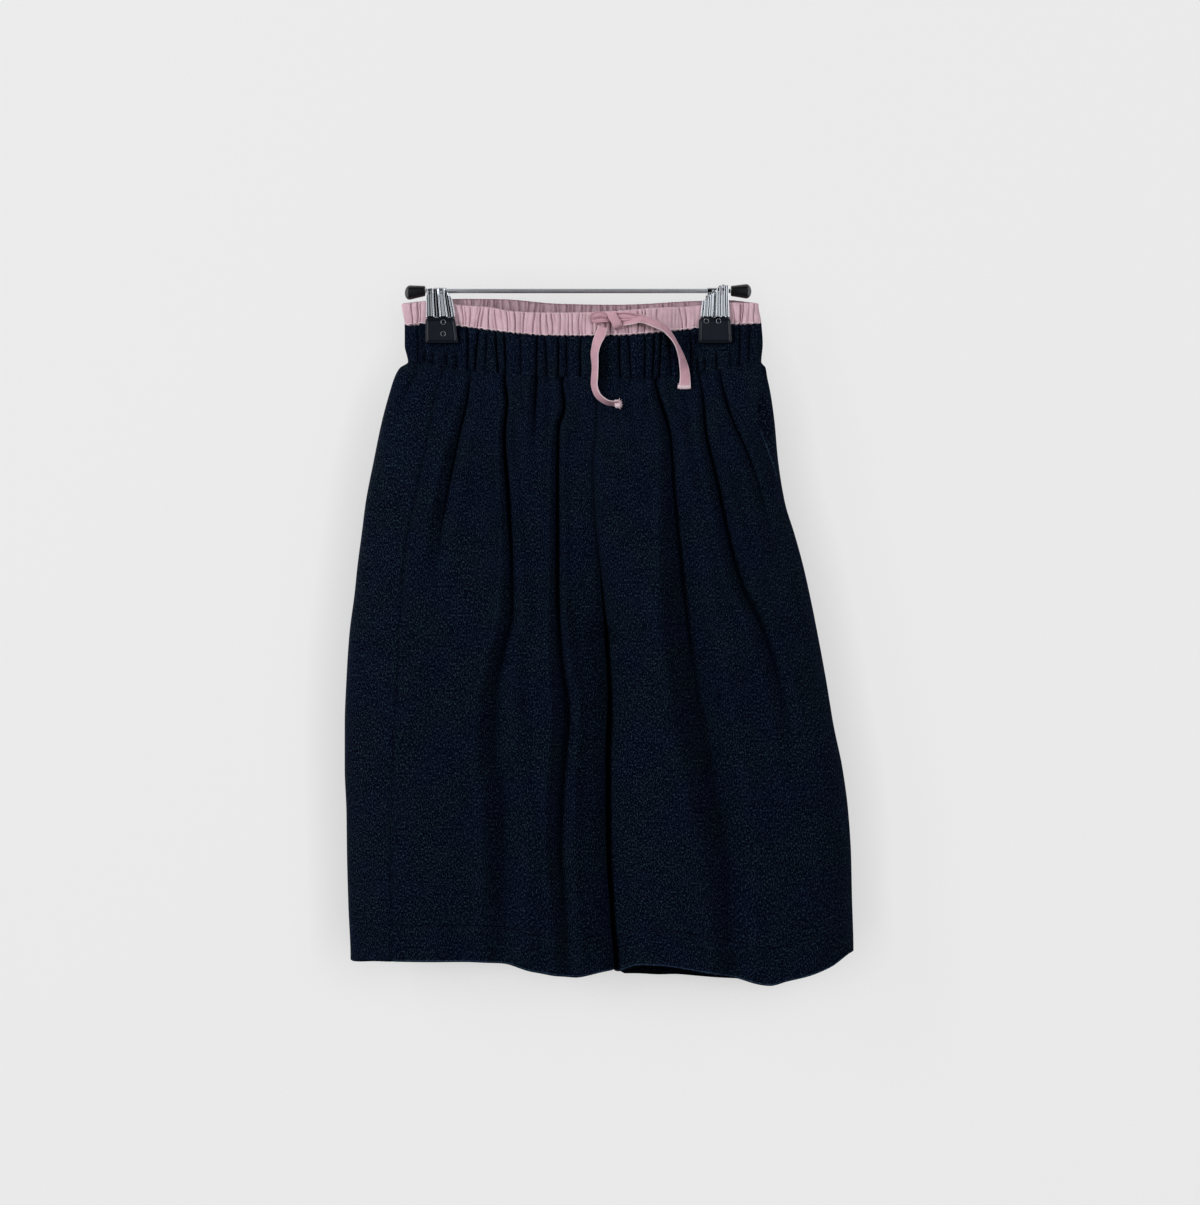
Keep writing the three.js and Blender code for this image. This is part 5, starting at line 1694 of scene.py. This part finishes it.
    def fray(self, form: Form, start: np.ndarray, end: np.ndarray, way: Sequence[float], long: float) -> None:
        """Adds loose thread ends along a cut edge.

        Args:
            form: The form that they are added to.
            start: Where the edge starts.
            end: Where it ends.
            way: The way that the threads point.
            long: How long the longest is.
        """
        count = 22
        for i in range(count):
            root = mix(start, end, (i + 0.5 + 0.3 * math.sin(2.7 * i)) / count)
            stray = 0.35 * np.array([math.sin(3.3 * i), math.cos(2.1 * i), math.sin(1.3 * i)])
            tip = root + (np.array(way) + stray) * long * (0.75 + 0.25 * math.sin(1.9 * i))
            reach = float(np.linalg.norm(tip - root))
            Stitch(2 * reach, 0.98 * reach, 0.17).sew(form, np.array([root, tip]))

    def finish_ends(self, right: np.ndarray, left: np.ndarray) -> None:
        """Makes the turned and stitched end of the left tape, and the little frayed knot of the right one.

        Args:
            right: Middle line of the right end.
            left: Middle line of the left end.
        """
        low = left[-1] + np.array([-0.4, -0.1, 0.9])
        edge = low + np.array([[-4.5, 0, 0.5], [-2, -0.3, 0], [1, -0.3, -0.1], [4.4, 0, 0.3]])
        hem = Form.of(ribbon(smooth_path(edge, 24), 2.6, 1.7, flat=0.8))
        foot = np.array([0, 0, -0.9])
        self.fray(hem, edge[0] + foot, edge[-1] + foot, (0, -0.1, -1), 1.0)
        hem.piece("tie_end_left_hem", self.edge, "pink_tape")
        seam = Form()
        self.stitch.sew(seam, edge + np.array([0, -0.75, 1.9]))
        seam.piece("tie_end_left_stitches", self.thread, "pink_tape")
        turn = np.linspace(0, 2 * math.pi * 1.7, 64)
        wound = (2.6 * turn / turn[-1] - 1.2, 1.2 * np.cos(turn), 2.0 * np.sin(turn + 0.4))
        tip = Form.of(ribbon(right[-2] + np.stack(wound, axis=-1), 2.2, 1.0, flat=0.8))
        end = right[-1] + np.array([0.4, -0.4, 0])
        for way in ((0.3, -0.2, -1), (0.9, -0.2, -0.3), (0.8, -0.2, 0.4), (0.1, -0.2, 1)):
            self.fray(tip, end + np.array([0, 0, -1.6]), end + np.array([0.3, 0, 1.6]), way, 2.2)
        tip.piece("tie_end_right_knot", self.edge, "pink_tape")


@dataclass
class Hanger:
    """The slim bar, its knobs and the two clips that hold the waistband."""

    chrome: bpy.types.Material
    satin: bpy.types.Material
    vinyl: bpy.types.Material
    styrene: bpy.types.Material
    bar_radius: float = 1.6
    bar_rim: float = 0.3
    bar_ends: tuple[float, float] = (-106.9, 106.3)
    knob_gap: float = 0.3
    knob_sag: dict = field(default_factory=lambda: {Leg.RIGHT: 0.1, Leg.LEFT: 0.02})
    # Profiles as turned takes them, from the bar's end out and from the pad's face out.
    knob: tuple = (
        (0, 0.3), (0, 3.0), (0.25, 3.5), (0.9, 3.75), (5, 4.3), (9.5, 4.95), (10.8, 5.1), (11.8, 4.95),
        (12.7, 4.4), (13.5, 3.5), (14.1, 2.2), (14.5, 0.3),
    )
    eyelet: tuple = (
        (-0.2, 1.75), (0.2, 1.75), (0.38, 1.68), (0.44, 1.6), (0.38, 1.52), (0.2, 1.46), (-0.1, 1.45),
        (-0.1, 0.4),
    )
    rib_height: float = 1.0
    plate_wall: float = 0.9
    plate_foot: float = -19.0
    # A clip's plate, seen from the front: its edges by level, its top by share across, and its flutes.
    plate_edges: dict = field(default_factory=lambda: {
        Leg.RIGHT: Table("z right left", [(-19, -106.4, -86.2), (-8, -106.4, -88), (2, -106.2, -89.4)]),
        Leg.LEFT: Table("z right left", [(-19, 85.4, 105.4), (-8, 86.4, 105), (3.4, 87, 104.8)]),
    })
    plate_tops: dict = field(default_factory=lambda: {
        Leg.RIGHT: Table("share z", [
            (0, -0.6), (0.06, 0.4), (0.2, 0.8), (0.72, 1), (0.82, 0), (0.9, -2.4), (1, -6)]),
        Leg.LEFT: Table("share z", [
            (0, -7.8), (0.13, -6.4), (0.25, -4.6), (0.38, -2.4), (0.53, 0.4), (0.63, 2.4), (0.75, 3.3),
            (1, 2.8)]),
    })
    flutes: dict = field(default_factory=lambda: {
        Leg.RIGHT: Table("share high", [
            (0, 0.1), (0.03, 0.8), (0.07, 1), (0.11, 1), (0.135, 0.9), (0.16, 1), (0.2, 1), (0.24, 0.8),
            (0.285, 0), (0.375, -0.4), (0.465, 0), (0.51, 0.8), (0.55, 1), (0.65, 1), (0.69, 0.8),
            (0.735, 0), (0.81, -0.4), (0.885, 0), (0.915, 0.7), (0.94, 0.8), (0.97, 0.7), (1, 0.1)]),
        Leg.LEFT: Table("share high", [
            (0, 0.1), (0.03, 0.6), (0.05, 0.5), (0.075, -0.1), (0.1, 0.5), (0.125, 0.75), (0.22, 0.75),
            (0.245, 0.5), (0.27, -0.1), (0.3, 0.6), (0.325, 0.8), (0.365, 0.8), (0.39, 0.6), (0.42, -0.05),
            (0.47, -0.35), (0.52, -0.05), (0.55, 0.6), (0.575, 0.8), (0.65, 0.8), (0.67, 0.6), (0.7, -0.1),
            (0.73, 0.6), (0.755, 0.85), (0.835, 0.85), (0.855, 0.6), (0.885, -0.15), (0.915, 0.5),
            (0.94, 0.7), (0.965, 0.65), (1, 0.1)]),
    })
    plate_stand: Table = field(default_factory=lambda: Table("z off", [
        (-19, 4.5), (-12, 3.7), (-4.25, 3.2), (-1, 4.4), (3.4, 6.2)]))
    # The pads: where their top and their foot start and end, their eyelets, and their rounded corners.
    pad_thick: float = 4.0
    pad_top: float = -19.45
    pad_bottom: float = -37.1
    pad_corner: float = 2.4
    pad_edges: dict = field(default_factory=lambda: {
        Leg.RIGHT: (-106.8, -86.1, -106.8, -84.0), Leg.LEFT: (84.2, 106.2, 83.6, 107.2)})
    pad_rings: dict = field(default_factory=lambda: {
        Leg.RIGHT: ((-94.4, -22.4), (-94.4, -30.6)), Leg.LEFT: ((89.2, -21.6), (97.8, -21.6))})
    # Sizes of the pin and the sleeve as rod_profile takes them, and of the spring's coil.
    pin: tuple = (5.5, 1.1, 0.2, 0.2)
    sleeve: tuple = (4.5, 2.4, 0.2, 1.9)
    pivot_z: float = -4.25
    coil_turns: int = 7
    coil_length: float = 8.4
    coil_radius: float = 2.2
    coil_wire: float = 0.9

    def plate(self, leg: Leg, side: Side) -> None:
        """Makes a fluted plate of a clip.

        Args:
            leg: The clip's side of the garment.
            side: The plate's face.
        """
        edges = self.plate_edges[leg]
        across = np.linspace(0, 1, 241)[None, :]
        level = mix(self.plate_foot, self.plate_tops[leg].at("z", across), spaced(36, 0.3)[:, None])
        x = mix(edges.at("right", level), edges.at("left", level), across)
        flute = self.rib_height * self.flutes[leg].at("high", across) * ease(0, 1.2, level - self.plate_foot)
        off = self.plate_stand.at("off", level)

        def skin(stand: np.ndarray) -> np.ndarray:
            """Points of a face of the plate that stands off by this much."""
            return np.stack([x, side.value * stand, level], axis=-1)

        name = f"clip_{leg.word}_plate_{side.word}"
        plate = Form.of(shell(skin(off + self.plate_wall + flute), skin(off)))
        plate.piece(f"{name}_pressed", self.chrome, "chrome_steel", name)

    def pad_outline(self, corners: np.ndarray) -> np.ndarray:
        """Outline of a pad with its corners rounded.

        Args:
            corners: The x and z of its four corners, in order.

        Returns:
            The x and z of each place round it.
        """
        def toward(corner: np.ndarray, other: np.ndarray) -> np.ndarray:
            """Where a corner's round ends, on the way to another corner."""
            return corner + (other - corner) / np.linalg.norm(other - corner) * self.pad_corner

        outline = []
        for i, corner in enumerate(corners):
            after = corners[(i + 1) % 4]
            start, end = toward(corner, corners[i - 1]), toward(corner, after)
            outline.extend((1 - t) ** 2 * start + 2 * t * (1 - t) * corner + t**2 * end
                           for t in np.linspace(0, 1, 9))
            outline.extend(mix(end, toward(after, corner), t) for t in np.linspace(0, 1, 10)[1:-1])
        return np.array(outline)

    def pad(self, leg: Leg, side: Side) -> None:
        """Makes a moulded pad with a line pressed in round its face and two small eyelets.

        Args:
            leg: The clip's side of the garment.
            side: The pad's face.
        """
        top_right, top_left, foot_right, foot_left = self.pad_edges[leg]
        corners = np.array([(top_right, self.pad_top), (top_left, self.pad_top),
                            (foot_left, self.pad_bottom), (foot_right, self.pad_bottom)])
        outline = self.pad_outline(corners)
        middle = corners.mean(axis=0)
        half = (corners.max(axis=0) - corners.min(axis=0)) / 2
        inner = JAW_DEPTH + 0.3
        outer = inner + self.pad_thick
        # Rows of how far in from the outline and how far out from the middle plane.
        profile = (
            (4, inner), (0.6, inner), (0.15, inner + 0.15), (0, inner + 0.6), (0, outer - 0.9),
            (0.12, outer - 0.45), (0.4, outer - 0.15), (0.8, outer), (1.3, outer), (1.42, outer + 0.3),
            (1.6, outer + 0.42), (1.78, outer + 0.3), (1.95, outer), (3, outer), (5, outer + 0.05),
        )
        rings = []
        for inset, off in profile:
            flat = middle + (outline - middle) * (1 - inset / half)
            rings.append(np.insert(flat, 1, side.value * off, axis=1))
        name = f"clip_{leg.word}_pad_{side.word}"
        Form.of(closed_loft(np.array(rings))).piece(f"{name}_moulded", self.vinyl, "black_pad", name)
        ring = [(side.value * (outer + along), radius) for along, radius in self.eyelet]
        eyelets = Form.of(*(turned(ring, (x, 0, z), 1, 28) for x, z in self.pad_rings[leg]))
        eyelets.piece(f"{name}_eyelets", self.satin, "chrome_steel")

    def spring(self, leg: Leg) -> None:
        """Makes the pin of a clip with the spring wound round it.

        Args:
            leg: The clip's side of the garment.
        """
        x, z = CLIP_X[leg], self.pivot_z
        turn = np.linspace(0, 2 * math.pi * self.coil_turns, 240)
        coil = np.stack([x + self.coil_length * (turn / turn[-1] - 0.5), self.coil_radius * np.cos(turn),
                         z + self.coil_radius * np.sin(turn)], axis=-1)
        name = f"clip_{leg.word}_pivot"
        Form.of(turned(rod_profile(*self.pin), (x, 0, z), 0, 24),
                ribbon(coil, self.coil_wire, self.coil_wire, flat=1, sides=8)).piece(
            f"{name}_spring", self.chrome, "chrome_steel", name)

    def build(self) -> None:
        """Makes the bar, its knobs and both clips."""
        right, left = self.bar_ends
        radius, rim = self.bar_radius, self.bar_rim
        rod = [(right, 0.2), (right, radius - rim), (right + rim, radius), (-60, radius), (0, radius),
               (60, radius), (left - rim, radius), (left, radius - rim), (left, 0.2)]
        Form.of(turned(rod, (0, 0, 0), 0)).piece("hanger_bar_rod", self.satin, "chrome_steel", "hanger_bar")
        for leg, face in ((Leg.RIGHT, right - self.knob_gap), (Leg.LEFT, left + self.knob_gap)):
            points, faces = turned([(leg.value * along, wide) for along, wide in self.knob], (face, 0, 0), 0)
            points[:, 2] -= self.knob_sag[leg] * np.abs(points[:, 0] - face)
            name = f"bar_knob_{leg.word}"
            Form.of((points, faces)).piece(f"{name}_moulded", self.styrene, "black_knob", name)
            sleeve = Form.of(turned(rod_profile(*self.sleeve), (CLIP_X[leg], 0, 0), 0))
            name = f"clip_{leg.word}_sleeve"
            sleeve.piece(f"{name}_rolled", self.chrome, "chrome_steel", name)
            self.spring(leg)
            for side in Side:
                self.plate(leg, side)
                self.pad(leg, side)


@dataclass
class Studio:
    """The camera, the pale backdrop and floor, and the soft lights."""

    backdrop_y: float = 0.045
    floor_z: float = -0.75
    eye: tuple[float, float, float] = (0.01505, -2.4, -0.21805)
    focal: float = 102.857
    pale: str = "#ebebeb"
    # Half of the room's width, depth and height.
    room: float = 4.0
    # Cards that only bright metal and gloss mirror: where each starts and ends, in degrees from the front,
    # and its brightness. The dark ones are the black flags that give chrome its dark stripes.
    card_reach: float = 3.2
    card_foot: float = -3.2
    card_top: float = 3.0
    cards: tuple = ((-95, -54, 2.8), (-54, -9, 0.012), (-9, 9, 0.55), (9, 52, 0.012), (52, 95, 2.4))
    # Soft boxes: name, place, width and height, power in watts, and whether gloss mirrors it.
    soft_boxes: tuple = (
        ("key", (-1.9, -1.6, 0.45), (0.5, 2.0), 48, False),
        ("fill", (1.6, -1.9, 0.2), (0.5, 2.0), 17, False),
        ("front", (1.3, -2.3, 0.5), (0.8, 0.8), 12, False),
        ("rear", (-1.4, 1.9, 0.5), (0.8, 1.6), 30, True),
    )
    aim: tuple[float, float, float] = (0.0, 0.0, -0.22)
    sky: float = 0.07

    def camera(self) -> None:
        """Places the camera square to the front, as far off as a long lens needs."""
        data = bpy.data.cameras.new("camera")
        data.sensor_fit, data.sensor_width, data.lens = "HORIZONTAL", 36.0, self.focal
        made = bpy.data.objects.new("camera", data)
        made.location = self.eye
        made.rotation_euler = (math.pi / 2, 0, 0)
        bpy.context.scene.collection.objects.link(made)
        bpy.context.scene.camera = made

    def sheet(self, name: str, corners: Sequence[Sequence[float]], finish: Finish) -> bpy.types.Object:
        """Makes a flat sheet of the stage.

        Args:
            name: Its name.
            corners: Its four corners, in metres.
            finish: What it is made of.

        Returns:
            The object.
        """
        mesh = bpy.data.meshes.new(name)
        mesh.from_pydata([list(corner) for corner in corners], [], [[0, 1, 2, 3]])
        mesh.materials.append(finish.build())
        made = bpy.data.objects.new(name, mesh)
        bpy.context.scene.collection.objects.link(made)
        return made

    def upright(self, name: str, start: Sequence[float], end: Sequence[float], foot: float, top: float,
                finish: Finish) -> bpy.types.Object:
        """Stands a sheet up between two places on the plan, from one height to another."""
        return self.sheet(name, [(*start, foot), (*end, foot), (*end, top), (*start, top)], finish)

    def card(self, start: float, end: float, bright: float) -> None:
        """Stands up a card before the garment that shows only in its gloss.

        Args:
            start: The angle that it starts at, in degrees from the front towards +X.
            end: The angle that it ends at.
            bright: How strongly it glows.
        """
        turns = (math.radians(start), math.radians(end))
        sides = [(self.card_reach * math.sin(turn), -self.card_reach * math.cos(turn)) for turn in turns]
        made = self.upright(f"card_{start:.0f}", sides[0], sides[1], self.card_foot, self.card_top,
                            GlowingCard(bright))
        made.visible_camera = made.visible_diffuse = made.visible_shadow = made.visible_transmission = False

    def light(self, name: str, place: tuple[float, float, float], size: tuple[float, float], power: float,
              mirrored: bool) -> None:
        """Adds a soft box that faces the garment.

        Args:
            name: Its name.
            place: Where its middle is.
            size: Its width and height.
            power: Its power in watts.
            mirrored: Whether gloss mirrors it.
        """
        data = bpy.data.lights.new(name, "AREA")
        data.shape, data.energy = "RECTANGLE", power
        data.size, data.size_y = size
        made = bpy.data.objects.new(name, data)
        made.location = place
        aim = np.array(self.aim) - np.array(place)
        flat = math.hypot(aim[0], aim[1])
        made.rotation_euler = (math.atan2(flat, -aim[2]), 0, math.atan2(aim[1], aim[0]) - math.pi / 2)
        made.visible_glossy = mirrored
        bpy.context.scene.collection.objects.link(made)

    def build(self) -> None:
        """Makes the backdrop, the floor, the far walls, the cards, the lights and the world."""
        y, z, room = self.backdrop_y, self.floor_z, self.room
        backdrop = self.upright("backdrop", (-room, y), (room, y), z, room,
                                SeamlessPaper("backdrop_paper", self.pale, True))
        backdrop.visible_shadow = False
        corners = ((-room, -room), (room, -room), (room, room), (-room, room))
        floor = self.sheet("floor", [(*corner, z) for corner in corners],
                           SeamlessPaper("floor_paper", self.pale, False))
        floor.visible_diffuse = floor.visible_glossy = False
        # The walls in front and at both sides show only in views from behind or from a side.
        for start, end in ((1, 0), (0, 3), (2, 1)):
            far = self.upright("far_wall", corners[start], corners[end], z, room,
                               SeamlessPaper("far_paper", self.pale, True))
            far.visible_diffuse = far.visible_glossy = far.visible_shadow = False
        for card in self.cards:
            self.card(*card)
        for soft_box in self.soft_boxes:
            self.light(*soft_box)
        world = bpy.data.worlds.new("studio")
        bpy.context.scene.world = world
        world.use_nodes = True
        tree = world.node_tree
        tree.nodes.clear()
        sky = add_node(tree, "ShaderNodeBackground", {"Color": linear(self.pale), "Strength": self.sky})
        add_node(tree, "ShaderNodeOutputWorld", {"Surface": sky.outputs[0]})
        bpy.context.scene.view_settings.view_transform = "Standard"


def main() -> None:
    """Builds the shorts and their hanger, piece by piece."""
    logging.basicConfig(level=logging.INFO, format="%(name)s: %(message)s")
    studio = Studio()
    studio.camera()
    twill = BrushedTwill().build()
    poplin = PlainCotton().build()
    # The casing's back takes a darker, greyer copy of the poplin: painted shade, since its inner face lies in the
    # front's shade, with some of the duller wrong side of the cloth.
    shaded_poplin = PlainCotton(name="pink_poplin_shaded", ground="#b99fa8", worn="#ab9099").build()
    tape = PlainCotton(name="pink_tape", ground="#d6a9b6", worn="#c299a6", selvedge=3.35 * MM).build()
    # A paler copy of the pink. On the casing's lower fold it is a painted highlight along the edge; on the tie's
    # turned end and its frayed knot it makes them paler.
    edge = PlainCotton(name="pink_tape_end", ground="#ecd9df", worn="#dfc6ce").build()
    # A paler copy of the twill for the pale folds along the hems and the pocket mouth: partly wear, partly a
    # painted highlight on their rims.
    worn = BrushedTwill(name="navy_twill_worn_highlight", ground="#1c2b40", deep="#111c2c", fibre="#506b76",
                        fibre_violet="#50607c").build()
    navy_thread = SewingThread().build()
    pink_thread = SewingThread(name="pink_thread", colour="#e6cdd5").build()
    Tie(tape, edge, pink_thread).build()
    Panels(twill, worn, navy_thread).build()
    WaistBands(twill, poplin, shaded_poplin, edge, pink_thread).build()
    satin = PlatedSteel("satin_nickel_plate", "#f4f5f6", least_rough=0.46, most_rough=0.58).build()
    Hanger(PlatedSteel().build(), satin, MouldedVinyl().build(), MouldedStyrene().build()).build()
    studio.build()
    LOG.info("all pieces are made")


if __name__ == "__main__":
    main()
